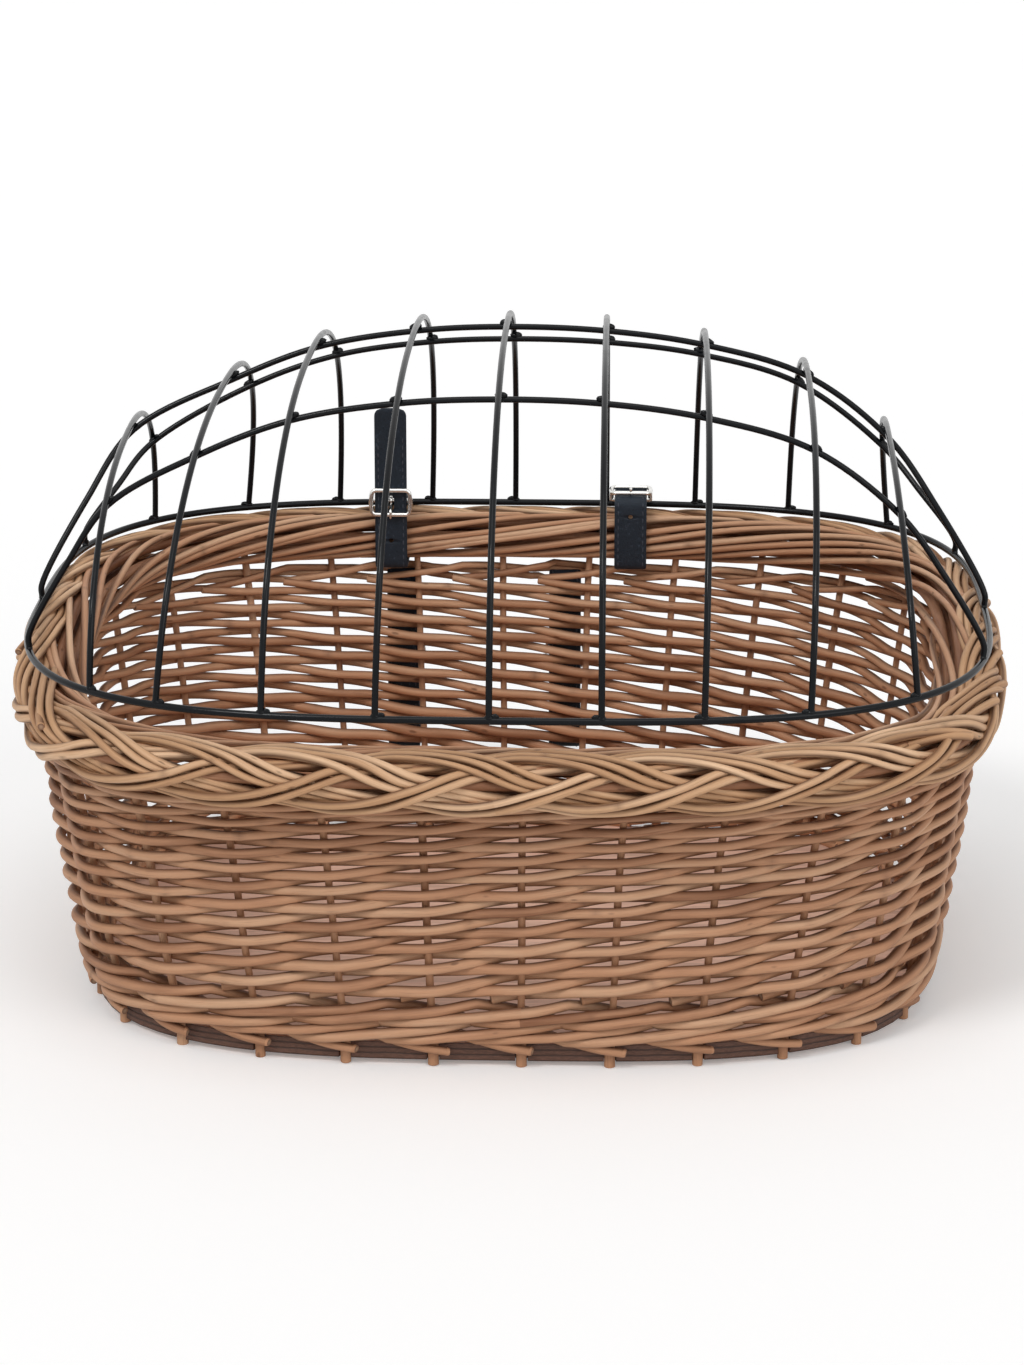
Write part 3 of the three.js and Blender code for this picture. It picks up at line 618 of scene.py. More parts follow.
def board_look(tree, shader, tones):
    """Stained plywood: grain on the faces and dark layer lines round the edge."""
    place = tree.place()
    grain = tree.noise(place, (9, 150, 60), 5, 0.62)
    pores = tree.noise(place, (60, 1300, 900), 3, 0.6)
    face = tree.mix(tree.ramp(grain, 0.34, 0.68), shaded(tones.board_face, 0.72), tones.board_face)
    face = tree.mix(tree.times(tree.ramp(pores, 0.56, 0.75), 0.45), face, tones.board_edge)
    wander = tree.times(tree.minus(tree.noise(place, 60, 2, 0.55), 0.5), 0.0009)
    height = tree.plus(tree.separate("ShaderNodeSeparateXYZ", place)[2], wander)
    plies = tree.math("FRACT", tree.math("DIVIDE", tree.minus(height, PLY), PLY))
    line = tree.ramp(tree.math("ABSOLUTE", tree.minus(plies, 0.5)), 0.26, 0.46)
    fibres = tree.noise(place, (420, 420, 2600), 4, 0.6)
    edge = tree.mix(tree.ramp(fibres, 0.35, 0.7), shaded(tones.board_edge, 0.55), tones.board_edge)
    edge = tree.mix(tree.times(line, 0.8), edge, shaded(tones.board_edge, 0.22))
    normal = tree.node("ShaderNodeNewGeometry").outputs["Normal"]
    upright = tree.separate("ShaderNodeSeparateXYZ", normal)[2]
    share = tree.ramp(tree.math("ABSOLUTE", upright), 0.5, 0.8)
    rough = tree.plus(tree.times(grain, 0.2), 0.5)
    tree.fill(shader, {"Base Color": tree.mix(share, edge, face), "Roughness": rough})
    relief = tree.plus(tree.times(fibres, 0.5), tree.times(pores, 0.4))
    tree.bump(shader, tree.minus(relief, line), 0.0004, 0.8)


def wire_look(tree, shader, tones):
    """Glossy black coating with a little dust."""
    wear = tree.wear(900, 0.3)
    colour = tree.mix(wear["Scuffs"], tones.wire, shaded(tones.wire, 2, 0.005))
    colour = tree.mix(tree.times(wear["Dust"], 0.25), colour, shaded(tones.wire, 1.8, 0.001))
    rough = tree.plus(tree.times(wear["Scuffs"], 0.15), 0.13)
    rough = tree.plus(rough, tree.times(wear["Dust"], 0.1))
    tree.fill(shader, {"Base Color": colour, "Roughness": rough, "IOR": 1.36, "Specular IOR Level": 0.3})
    tree.bump(shader, wear["Height"], 0.00008, 0.5)


def leather_look(tree, shader, tones):
    """Pebbled and creased leather, darker at its cut edges."""
    wear = tree.wear(420, 0.9)
    place = tree.place()
    cells = tree.node("ShaderNodeTexVoronoi", feature="DISTANCE_TO_EDGE")
    tree.fill(cells, {"Scale": 1400, "Vector": place})
    pebble = tree.ramp(cells.outputs["Distance"], 0.0, 0.16)
    creases = tree.noise(place, (120, 420, 420), 4, 0.65)
    cut = tree.rod_marks()[1]
    colour = tree.mix(pebble, shaded(tones.leather, 0.45), tones.leather)
    colour = tree.mix(wear["Scuffs"], colour, shaded(tones.leather, 2.6, 0.012))
    colour = tree.mix(tree.times(cut, 0.6), colour, shaded(tones.leather, 0.5))
    rough = tree.plus(tree.times(creases, 0.22), 0.32)
    rough = tree.plus(rough, tree.times(wear["Scuffs"], 0.2))
    tree.fill(shader, {"Base Color": colour, "Roughness": rough, "Specular IOR Level": 0.24})
    relief = tree.plus(tree.times(pebble, 0.6), tree.times(creases, 1.3))
    tree.bump(shader, relief, 0.00022, 0.8)


def thread_look(tree, shader, tones):
    """Waxed thread with its twist."""
    twist = tree.node("ShaderNodeTexWave", wave_type="BANDS", bands_direction="DIAGONAL")
    tree.fill(twist, {"Scale": 900, "Vector": tree.place()})
    colour = tree.mix(twist.outputs["Fac"], shaded(tones.thread, 0.5), tones.thread)
    tree.fill(shader, {"Base Color": colour, "Roughness": 0.7})
    tree.bump(shader, twist.outputs["Fac"], 0.0001, 0.5)


def nickel_look(tree, shader, tones):
    """Polished plating, a little dulled by dust."""
    wear = tree.wear(1100, 0.8)
    dulled = tree.times(wear["Dust"], 0.35)
    rough = tree.plus(tree.times(wear["Scuffs"], 0.25), 0.16)
    tree.fill(shader, {
        "Base Color": tree.mix(dulled, tones.nickel, shaded(tones.nickel, 0.62)), "Metallic": 1.0,
        "Roughness": tree.plus(rough, tree.times(wear["Dust"], 0.1)),
    })
    tree.bump(shader, wear["Height"], 0.00008, 0.5)


def floor_look(tree, shader, tones):
    """White paper that glows a little for the camera alone."""
    seen = tree.node("ShaderNodeLightPath").outputs["Is Camera Ray"]
    tree.fill(shader, {
        "Base Color": (*tones.floor, 1), "Roughness": 0.9, "Specular IOR Level": 0.1,
        "Emission Color": (1, 1, 1, 1), "Emission Strength": tree.times(seen, FLOOR_GLOW),
    })


LOOKS = {
    "peeled_willow": willow_look("willow", 0.5),
    "border_willow": willow_look("border", 0.38),
    "stained_plywood": board_look,
    "black_wire_coat": wire_look,
    "navy_black_leather": leather_look,
    "waxed_thread": thread_look,
    "polished_nickel": nickel_look,
    "paper_floor": floor_look,
}


def material(name):
    """The material of that name, made from its look when it is first asked for."""
    if name in bpy.data.materials:
        return bpy.data.materials[name]
    made = bpy.data.materials.new(name)
    made.use_nodes = True
    made.node_tree.nodes.clear()
    tree = Tree(made.node_tree)
    shader = tree.node("ShaderNodeBsdfPrincipled")
    output = tree.node("ShaderNodeOutputMaterial")
    tree.join(shader.outputs[0], output.inputs["Surface"])
    LOOKS[name](tree, shader, bpy.context.scene.basket_finish)
    return made


# Settings


def length(name, description, default):
    return FloatProperty(
        name=name, description=description, default=default, unit="LENGTH", min=0.0, precision=4
    )


def colour(name, description, default):
    return FloatVectorProperty(
        name=name, description=description, default=default, subtype="COLOR", size=3, min=0, max=1
    )


class BasketWeave(bpy.types.PropertyGroup):
    foot_stake_radius: length("Stake Foot Radius", "Radius of the upright stakes at their feet", 0.0027)
    stake_radius: length("Stake Radius", "Radius of the upright stakes in the wall", 0.0019)
    butt_radius: length("Butt Radius", "Radius of a side weaving rod at its thick end", 0.00295)
    tip_radius: length("Tip Radius", "Radius of a side weaving rod at its thin end", 0.00218)
    side_passes: IntProperty(
        name="Side Passes", description="Stakes that each side rod passes", default=21, min=6, max=29
    )
    foot_radius: length("Foot Rod Radius", "Radius of the waling rods round the foot", 0.00262)
    top_radius: length("Top Rod Radius", "Radius of the waling rods under the border", 0.0021)
    plait_radius: length("Plait Rod Radius", "Mean radius of the rods in the border", 0.00198)
    plait_crossings: IntProperty(
        name="Plait Crossings", description="Crossings round the border", default=25, min=10
    )
    seed: IntProperty(name="Seed", description="Starts the irregularity of the rods", default=7, min=0)


class BasketWires(bpy.types.PropertyGroup):
    ring_radius: length("Ring Wire Radius", "Radius of the wire ring", 0.0018)
    wire_radius: length("Wire Radius", "Radius of the hoops and rails", 0.0016)
    bead_size: length("Weld Size", "Half length of the weld at a crossing", 0.0034)
    buckle_radius: length("Buckle Wire Radius", "Radius of the buckles' wire", 0.00125)


class BasketLeather(bpy.types.PropertyGroup):
    width: length("Strap Width", "Width of each strap", 0.018)
    thickness: length("Strap Thickness", "Thickness of each strap", 0.002)
    stitch_pitch: length("Stitch Pitch", "Distance from one stitch to the next", 0.0042)
    stitch_inset: length("Stitch Inset", "Distance of the seam from the strap's edge", 0.0021)


class BasketFinish(bpy.types.PropertyGroup):
    willow_dark: colour("Willow Dark", "Darkest tone of the side rods", (0.22, 0.09, 0.042))
    willow_middle: colour("Willow Middle", "Main tone of the side rods", (0.53, 0.275, 0.152))
    willow_pale: colour("Willow Pale", "Palest tone of the side rods", (0.68, 0.43, 0.27))
    border_dark: colour("Border Dark", "Darkest tone of the border rods", (0.26, 0.115, 0.05))
    border_middle: colour("Border Middle", "Main tone of the border rods", (0.56, 0.32, 0.17))
    border_pale: colour("Border Pale", "Palest tone of the border rods", (0.86, 0.58, 0.37))
    board_face: colour("Board Face", "Stained face of the base board", (0.84, 0.53, 0.40))
    board_edge: colour("Board Edge", "Stained edge of the base board", (0.17, 0.078, 0.05))
    wire: colour("Wire", "Coating of the dome's wires", (0.0035, 0.0042, 0.0055))
    leather: colour("Leather", "Leather of the straps", (0.017, 0.026, 0.040))
    thread: colour("Thread", "Thread of the seams", (0.055, 0.062, 0.085))
    nickel: colour("Nickel", "Plating of the buckles", (0.82, 0.81, 0.78))
    floor: colour("Floor", "Paper under the basket", (0.92, 0.92, 0.92))


# Woven pieces

# Heights of rows are shares of the wall's height, and lengths are in millimetres
FOOT_ROWS = (0.05, 0.124)
TOP_ROWS = (0.958,)
SIDE_FROM, SIDE_TO = 0.172, 0.925
SIDE_GROUPS = 3
ROW_RISE = 3.75
CUT_ROD_TOP, CUT_ROD_FALL = 14.2, 4.6
STRAP_CLEAR, STRAP_FADE = 10, 9
STRAP_SHARE = 0.93
INNER_REACH = 6.2
INNER_RODS = STAKES * 3 // 2
THINNED_ENDS = 0.09
CORE_SHRINK, CORE_RODS, CORE_RADIUS = 8, 6, 2.9
PLAIT_ENDS = ((0.157, 1.0), (0.186, 0.8), (0.203, 1.0), (0.222, 0.7), (0.784, 0.8), (0.846, 0.9))


def strap_clearance(points, radius, wale=False):
    """Presses rods in behind the inner run of each bar strap, or lifts waling rods over it."""
    middle = WALL.middle(np.array([0.5]), np.array([STRAP_SHARE]))[0, 1]
    for side, x in BAR_STRAPS.items():
        inner, outer = (corner.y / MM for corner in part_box(f"bar_strap_{side}"))
        near = 1 - np.clip((np.abs(points[:, 0] - x) - STRAP_CLEAR) / STRAP_FADE, 0, 1)
        near = ease(near) * (points[:, 1] > 0)
        target = np.minimum(points[:, 1], inner - radius - STRAP_GAP)
        if wale:
            target = np.where(points[:, 1] > middle + 1.5, (inner + outer) / 2 + 0.2, target)
        points[:, 1] = points[:, 1] * (1 - near) + target * near
    return points


def side_rod(start, rng, sizes):
    """One side weaving rod: it starts at a stake and climbs the wall, in front of one and behind the next."""
    passes = sizes.side_passes
    u = np.linspace(-0.34, passes - 0.42, int((passes - 0.08) * BAY_STEPS))
    climb = u - 0.05 * np.sin(2 * math.pi * u)
    share = np.clip((climb + 0.5) / passes, -0.02, 1.02)
    rise = 1.2 * share - 0.2 * share * share
    taper = sizes.butt_radius + (sizes.tip_radius - sizes.butt_radius) * np.clip(share, 0, 1)
    radius = taper / MM * rng.uniform(0.93, 1.06)
    knots = knots_along(rng, len(u), BAY_LENGTH / BAY_STEPS)
    radius = radius * (1 + 0.07 * knots) * (1 + smooth_noise(rng, len(u), 9, 0.018))
    reach = sizes.stake_radius / MM + radius + 0.1
    wave = -(np.cos(math.pi * u) + 0.09 * np.cos(3 * math.pi * u)) / 1.09
    out = reach * wave + smooth_noise(rng, len(u), 15, 0.22)
    up = smooth_noise(rng, len(u), 17, 0.42)
    turn = WALL.stake_turn(start + u + smooth_noise(rng, len(u), 20, 0.012))
    points = WALL.place(turn, SIDE_FROM + (SIDE_TO - SIDE_FROM) * rise, out, up)
    return strap_clearance(points, radius), radius, knots


def wale_loops(pile, rng, rows, radius, swell, wale=False):
    """Three rods at a time that pass in front of two stakes and behind one, row above row."""
    count = STAKES * BAY_STEPS
    u = np.arange(count) / BAY_STEPS
    for share in rows:
        for start in range(3):
            cycle = np.mod(u - start, 3)
            held = 1 + 0.08 * np.sin(math.pi * (cycle - 1))
            falling = np.cos(math.pi * (cycle - 2))
            front = np.where(cycle < 1, -np.cos(math.pi * cycle), np.where(cycle < 2, held, falling))
            climb = np.where(cycle < 0.5, -cycle, np.where(cycle < 2.5, (cycle - 1.5) / 2, 3 - cycle))
            thick = radius * rng.uniform(0.94, 1.06) * (1 + closed_noise(rng, count, (3, 7, 13, 29), 0.03))
            out = (swell + thick) * front + closed_noise(rng, count, (8, 15, 23), 0.2)
            up = climb * ROW_RISE * thick.mean() + closed_noise(rng, count, (5, 9, 17, 31), 0.3)
            turn = WALL.stake_turn(u + closed_noise(rng, count, (4, 11), 0.02))
            points = strap_clearance(WALL.place(turn, share, out, up), thick, wale)
            marks = knots_along(rng, count, BAY_LENGTH / BAY_STEPS, 120)
            tone = rng.uniform(0.25, 0.85)
            pile.tube(points, thick * (1 + 0.06 * marks), tone, True, knots=marks, crevice_shade=1)


class BASKET_OT_base_board(bpy.types.Operator):
    """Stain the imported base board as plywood"""

    bl_idname = "basket.base_board"
    bl_label = "Base Board"

    def execute(self, context):
        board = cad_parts["base_board"]
        board.data.materials.clear()
        board.data.materials.append(material("stained_plywood"))
        return {"FINISHED"}


class BASKET_OT_stakes(bpy.types.Operator):
    """Build the thirty upright stakes with their feet beside the board"""

    bl_idname = "basket.stakes"
    bl_label = "Stakes"

    def execute(self, context):
        sizes = context.scene.basket_weave
        rng = np.random.default_rng(sizes.seed + 1)
        pile = Pile()
        share = np.concatenate([[-0.08, -0.078, -0.05], np.linspace(0, 1.04, 40)])
        slim = np.clip(share / 0.12, 0, 1)
        taper = (sizes.foot_stake_radius * (1 - slim) + sizes.stake_radius * slim) / MM
        for i in range(STAKES):
            points = WALL.place(WALL.stake_turn(i), np.maximum(share, 0))
            points[:3, 2] = np.array([0, 0.5, 5]) + rng.uniform(0, 0.6)
            sway = smooth_noise(rng, len(share), 9, 0.16)
            points[3:, 0] += sway[3:]
            radius = taper * rng.uniform(0.94, 1.08) * (1 + smooth_noise(rng, len(share), 6, 0.025))
            marks = knots_along(rng, len(share), 4, 80)
            outward = points[1] - [0, 0, points[1][2]]
            tone = rng.uniform(0.2, 0.7)
            pile.tube(points, radius * (1 + 0.05 * marks), tone, ref=outward, knots=marks, bevel=0.1)
        names = [f"stake_{i + 1:02d}" for i in range(STAKES)]
        finish_piece(pile.build("stakes"), "peeled_willow", "basket", names)
        return {"FINISHED"}


class BASKET_OT_foot_waling(bpy.types.Operator):
    """Weave the thick rods round the foot and lay the cut rods across the feet of the stakes"""

    bl_idname = "basket.foot_waling"
    bl_label = "Foot Waling"

    def execute(self, context):
        sizes = context.scene.basket_weave
        rng = np.random.default_rng(sizes.seed + 2)
        pile = Pile()
        thick, stake = sizes.foot_radius / MM, sizes.foot_stake_radius / MM
        wale_loops(pile, rng, FOOT_ROWS, thick, stake)
        for i in range(STAKES):
            reach = rng.uniform(0.5, 0.68)
            u = np.linspace(i - reach, i + rng.uniform(0.09, 0.17), 16)
            share = (u - u[0]) / (u[-1] - u[0])
            radius = thick * rng.uniform(0.86, 1.02) * (1 - 0.08 * share)
            swing = np.sin(np.clip(share * 1.25, 0, 1) * math.pi / 2)
            points = WALL.place(WALL.stake_turn(u), 0, -1.5 + (stake + radius + 1.6) * swing)
            points[:, 2] = CUT_ROD_TOP - CUT_ROD_FALL * share + rng.uniform(-0.7, 0.7)
            blunt, slant = rng.uniform(0.3, 0.7), rng.uniform(-0.5, 0.5)
            pile.tube(points, radius, rng.uniform(0.15, 0.6), bevel=blunt, slant=slant, crevice_shade=0.8)
        finish_piece(pile.build("foot_waling"), "peeled_willow", "basket", ["foot_wale"])
        return {"FINISHED"}


class BASKET_OT_side_weave(bpy.types.Operator):
    """Weave the side of the basket from rods that climb round the wall"""

    bl_idname = "basket.side_weave"
    bl_label = "Side Weave"

    def execute(self, context):
        sizes = context.scene.basket_weave
        rng = np.random.default_rng(sizes.seed + 3)
        for group in range(SIDE_GROUPS):
            pile = Pile()
            for start in range(group, STAKES, SIDE_GROUPS):
                points, radius, knots = side_rod(start, rng, sizes)
                pile.tube(points, radius, rng.uniform(0.2, 0.85), knots=knots, crevice_shade=1)
            nodes = () if group else ["side_weave"]
            finish_piece(pile.build(f"side_rods_{group + 1}"), "peeled_willow", "basket", nodes)
        return {"FINISHED"}


class BASKET_OT_top_waling(bpy.types.Operator):
    """Weave the close row of waling under the border"""

    bl_idname = "basket.top_waling"
    bl_label = "Top Waling"

    def execute(self, context):
        sizes = context.scene.basket_weave
        rng = np.random.default_rng(sizes.seed + 4)
        pile = Pile()
        wale_loops(pile, rng, TOP_ROWS, sizes.top_radius / MM, sizes.stake_radius / MM, True)
        finish_piece(pile.build("top_waling"), "peeled_willow", "basket", ["top_wale"])
        return {"FINISHED"}


class BorderSection:
    """Places points on the border's rounded section, by turn and by distance round the section."""

    def __init__(self, shrink, skirt=1.0):
        self.outline = Outline(*BORDER_HALF)
        size = [half - shrink for half in BORDER_SECTION]
        angle = np.linspace(-math.pi * 0.75, math.pi * 1.25, 721)
        out = size[0] * signed_power(np.cos(angle), 2 / BORDER_FULLNESS)
        up = size[1] * signed_power(np.sin(angle), 2 / BORDER_FULLNESS)
        hang = 1 + (skirt - 1) * np.clip(out / size[0] + 0.3, 0, 1)
        self.section = np.stack([out, np.where(up < 0, up * hang, up)], 1)
        self.lengths = run_lengths(self.section)
        self.zero = np.interp(0, angle, self.lengths)
        self.round = self.lengths[-1]

    def at(self, distance):
        return read_path(self.section, self.lengths, np.mod(distance + self.zero, self.round))

    def place(self, turn, distance, lift=0.0):
        """Points and the direction across them; distance is 0 outermost and grows upwards and inwards."""
        spot = self.at(distance)
        step = unit(self.at(distance + 0.5) - self.at(distance - 0.5))
        out = spot[..., 0] + step[..., 1] * lift
        up = spot[..., 1] - step[..., 0] * lift
        xy = self.outline.at(turn)
        outward = self.outline.outward(turn)
        z = border_centre(xy[..., 1]) + up
        points = np.concatenate([xy + outward * out[..., None], z[..., None]], -1)
        return points, np.concatenate([outward * step[..., :1], step[..., 1:]], -1)


class Plait:
    """The five strands of the border: down over the upper half, then up over the lower half."""

    STRANDS = 5
    MIDDLE = 4.6
    SWAY = 16.6
    HEIGHT = 1.28
    SKIRT = 1.55
    STEEPNESS = 1.6

    def __init__(self, rod, crossings):
        self.rod = rod
        self.crossings = crossings
        self.lift = rod * self.HEIGHT
        self.section = BorderSection(rod + self.lift, self.SKIRT)
        self.total = self.section.outline.total
        self.period = self.total * self.STRANDS / crossings

    def along(self, theta, strand):
        """The share of the way round at which a strand has an angle of its swing."""
        return (theta / (2 * math.pi) - strand / self.STRANDS) * self.STRANDS / self.crossings

    def rod_path(self, turn, strand, offset, wander, bow):
        """A rod beside the middle of its strand, at an offset towards the inside of the basket."""
        theta = 2 * math.pi * (turn * self.crossings / self.STRANDS + strand / self.STRANDS)
        across = self.MIDDLE + self.SWAY * np.cos(theta)
        slope = -self.SWAY * np.sin(theta) * 2 * math.pi / self.period
        lean = np.hypot(1, slope)
        over = self.lift * np.tanh(self.STEEPNESS * np.sin(2 * theta)) / math.tanh(self.STEEPNESS)
        shifted = turn - slope / lean * (offset + wander) / self.total
        return self.section.place(shifted, across + (offset + wander) / lean, over + bow)


class BASKET_OT_border(bpy.types.Operator):
    """Plait the border from five strands of rods over rods that bend in from the stakes"""

    bl_idname = "basket.border"
    bl_label = "Plaited Border"

    def execute(self, context):
        sizes = context.scene.basket_weave
        rng = np.random.default_rng(sizes.seed + 5)
        plait = Plait(sizes.plait_radius / MM, sizes.plait_crossings)
        rod = plait.rod

        def lay(points, radius, tone, marks, across, closed=False):
            pile.tube(points, radius * (1 + 0.05 * marks), tone, closed, across, marks, crevice_shade=1)

        pile = Pile()
        count = PLAIT_STEPS
        turn = np.arange(count) / count
        for strand in range(plait.STRANDS):
            for offset in (-1.0, 1.0):
                radius = rod * rng.uniform(0.94, 1.1) * (1 + closed_noise(rng, count, (6, 13, 27), 0.045))
                wander = closed_noise(rng, count, (9, 17, 29), 0.4)
                bow = closed_noise(rng, count, (11, 19, 31), 0.22)
                points, across = plait.rod_path(turn, strand, offset * rod * 1.03, wander, bow)
                marks = knots_along(rng, count, plait.total / count, 130)
                lay(points, radius, rng.uniform(0.35, 0.95), marks, across, True)
        for crossing in range(plait.crossings):
            lap, strand = divmod(crossing, plait.STRANDS)
            theta = np.linspace(-0.36, 0.84, 60) * math.pi + 2 * math.pi * lap
            radius = rod * rng.uniform(0.82, 1.05) * np.linspace(1.06, 0.94, len(theta))
            wander = smooth_noise(rng, len(theta), 14, 0.3)
            points, across = plait.rod_path(plait.along(theta, strand), strand, -3.05 * rod, wander, 0.0)
            marks = knots_along(rng, len(theta), 3.2, 130)
            lay(points, radius, rng.uniform(0.25, 0.85), marks, across)
        share = np.linspace(0, 1, 14)
        for place, reach in PLAIT_ENDS:
            lift = plait.lift * (-1.0 + 2.5 * share)
            points, across = plait.section.place(place + (share - 1) * 0.022, 13 - 9.5 * share * reach, lift)
            tone, slant = rng.uniform(0.35, 0.8), rng.uniform(-0.6, 0.6)
            pile.tube(points, rod * 1.06, tone, ref=across, bevel=0.3, slant=slant, crevice_shade=1)
        finish_piece(pile.build("border_plait"), "border_willow", "basket", ["border"])

        pile = Pile()
        inner = BorderSection(rod + 0.5)
        share = np.linspace(0, 1, 70)
        for i in range(INNER_RODS):
            start = WALL.stake_turn(i / 1.5 + rng.uniform(-0.1, 0.1))
            middle = (start - INNER_REACH / STAKES / 2) % 1
            if i % 2 and abs(abs(middle - 0.5) - 0.25) < THINNED_ENDS:
                continue
            at = start - share * INNER_REACH * rng.uniform(0.94, 1.06) / STAKES
            distance = 65 - 45 * share + smooth_noise(rng, len(share), 20, 0.7)
            lift = 0.3 - 3.2 * np.clip(share * 4 - 3, 0, 1) + smooth_noise(rng, len(share), 15, 0.25)
            radius = rod * rng.uniform(0.86, 1.08) * np.linspace(1.06, 0.88, len(share))
            marks = knots_along(rng, len(share), 4, 120)
            points, across = inner.place(at, distance, lift)
            lay(points, radius, rng.uniform(0.4, 1.0), marks, across)
        core = BorderSection(CORE_SHRINK)
        turn = np.arange(CORE_STEPS) / CORE_STEPS
        for k in range(CORE_RODS):
            wander = closed_noise(rng, len(turn), (7, 12), 0.5)
            points, _ = core.place(turn, k * core.round / CORE_RODS + wander)
            pile.tube(points, CORE_RADIUS, rng.uniform(0.0, 0.3), True, sides=CORE_SIDES)
        finish_piece(pile.build("border_inner_rods"), "peeled_willow", "basket")
        return {"FINISHED"}


# Wire dome

# Each hoop's front and back foot as shares of the ring's half width, and its lean in millimetres
HOOPS = [
    (-0.807, -0.842, 3), (-0.666, -0.64, 11), (-0.455, -0.431, 5), (-0.233, -0.216, 4), (-0.013, -0.022, 1),
    (0.204, 0.19, 0), (0.402, 0.396, 2), (0.608, 0.611, 3), (0.82, 0.832, -8),
]
# Each rail's y at its middle and at its two ends
RAILS = {"lid_rail_front": (-98, -104), "lid_rail_top": (42, -10), "lid_rail_back": (146, 98)}
DOME_HEIGHT = 141
DOME_FULLNESS = 2.2
HOOP_FULLNESS = 2.4
RAIL_FULLNESS = 3
CROSSING_DEPTH = 4.4
RAIL_LEG = 6
SHOULDER = 0.6
WELD_SEED = 3
WELD_SHIFT, FOOT_WELD_SHIFT = 1.2, 2.4


class Hoop:
    """One hoop of the dome, read by y from the middle between its feet."""

    def __init__(self, front, back, lean, ring):
        self.front, self.back, self.lean = front, back, lean
        self.place = (front + back) / 2
        self.foot = RING_HEIGHT + ring + TOUCH
        self.rise = DOME_HEIGHT * float(supercurve(self.place, DOME_FULLNESS)) - ring - TOUCH
        reach = [RING_HALF[1] * float(supercurve(side, SQUARENESS)) for side in (front, back)]
        self.half = sum(reach) / 2
        self.middle = (reach[1] - reach[0]) / 2

    def at(self, y):
        y = np.asarray(y, float)
        share = y / self.half
        up = supercurve(share, HOOP_FULLNESS)
        x = (self.place + share * (self.back - self.front) / 2) * RING_HALF[0]
        return np.stack([x + self.lean * up, y + self.middle + RING_BACK, self.foot + self.rise * up], -1)

    def inside(self, y):
        """The middle of a rail that passes under the hoop at y, and the hoop's normal there."""
        share = y / self.half
        up = float(supercurve(share, HOOP_FULLNESS))
        slope_y = math.copysign(abs(share) ** (HOOP_FULLNESS - 1), y) / self.half
        slope_z = up ** (HOOP_FULLNESS - 1) / self.rise
        normal = np.array([0, slope_y, slope_z]) / math.hypot(slope_y, slope_z)
        return self.at(y) - normal * CROSSING_DEPTH, normal

    def crossings(self, rail):
        middle, end = rail
        y = end + (middle - end) * float(supercurve(self.place, RAIL_FULLNESS)) - RING_BACK - self.middle
        return self.inside(y)


def all_hoops(ring):
    return [Hoop(*plan, ring) for plan in HOOPS]


def rail_feet(rail, height):
    """The two points where a rail's ends stand on the ring."""
    end = rail[1]
    reach = RING_HALF[0] * float(supercurve((end - RING_BACK) / RING_HALF[1], SQUARENESS))
    return [np.array([side * reach, end, height]) for side in (-1, 1)]


def rail_shoulder(crossing, foot):
    """A point half way out from a crossing to a foot, and a little over half way up."""
    point = (crossing + foot) / 2
    point[2] = foot[2] + SHOULDER * (crossing[2] - foot[2])
    return point


class BASKET_OT_wires(bpy.types.Operator):
    """Bend the ring, the nine hoops and the three rails of the dome from round wire"""

    bl_idname = "basket.wires"
    bl_label = "Dome Wires"

    def execute(self, context):
        wires = context.scene.basket_wires
        wire, ring_wire = wires.wire_radius / MM, wires.ring_radius / MM

        def bend(name, node, path, radius, **more):
            pile = Pile()
            pile.tube(path, radius, sides=WIRE_SIDES, **more)
            finish_piece(pile.build(name), "black_wire_coat", "lid", [node])

        turn = np.arange(RING_STEPS) / RING_STEPS
        level = np.full((len(turn), 1), RING_HEIGHT)
        ring = np.concatenate([Outline(*RING_HALF).at(turn) + [0, RING_BACK], level], 1)
        bend("ring_wire", "lid_ring", ring, ring_wire, closed=True)
        hoops = all_hoops(ring_wire)
        sweep = signed_power(-np.cos(np.linspace(0, math.pi, 97)), 2 / HOOP_FULLNESS)
        for i, hoop in enumerate(hoops):
            bend(f"hoop_wire_{i + 1}", f"lid_hoop_{i + 1}", hoop.at(hoop.half * sweep), wire, ref=(1, 0, 0))
        leg = np.array([0, 0, RAIL_LEG])
        for name, rail in RAILS.items():
            inner = [hoop.crossings(rail)[0] for hoop in hoops]
            left, right = rail_feet(rail, hoops[0].foot)
            route = [left, left + leg, rail_shoulder(inner[0], left), *inner]
            route += [rail_shoulder(inner[-1], right), right + leg, right]
            bend(f"{name}_wire", name, smooth_path(route, 10), wire, ref=(0, 1, 0))
        return {"FINISHED"}


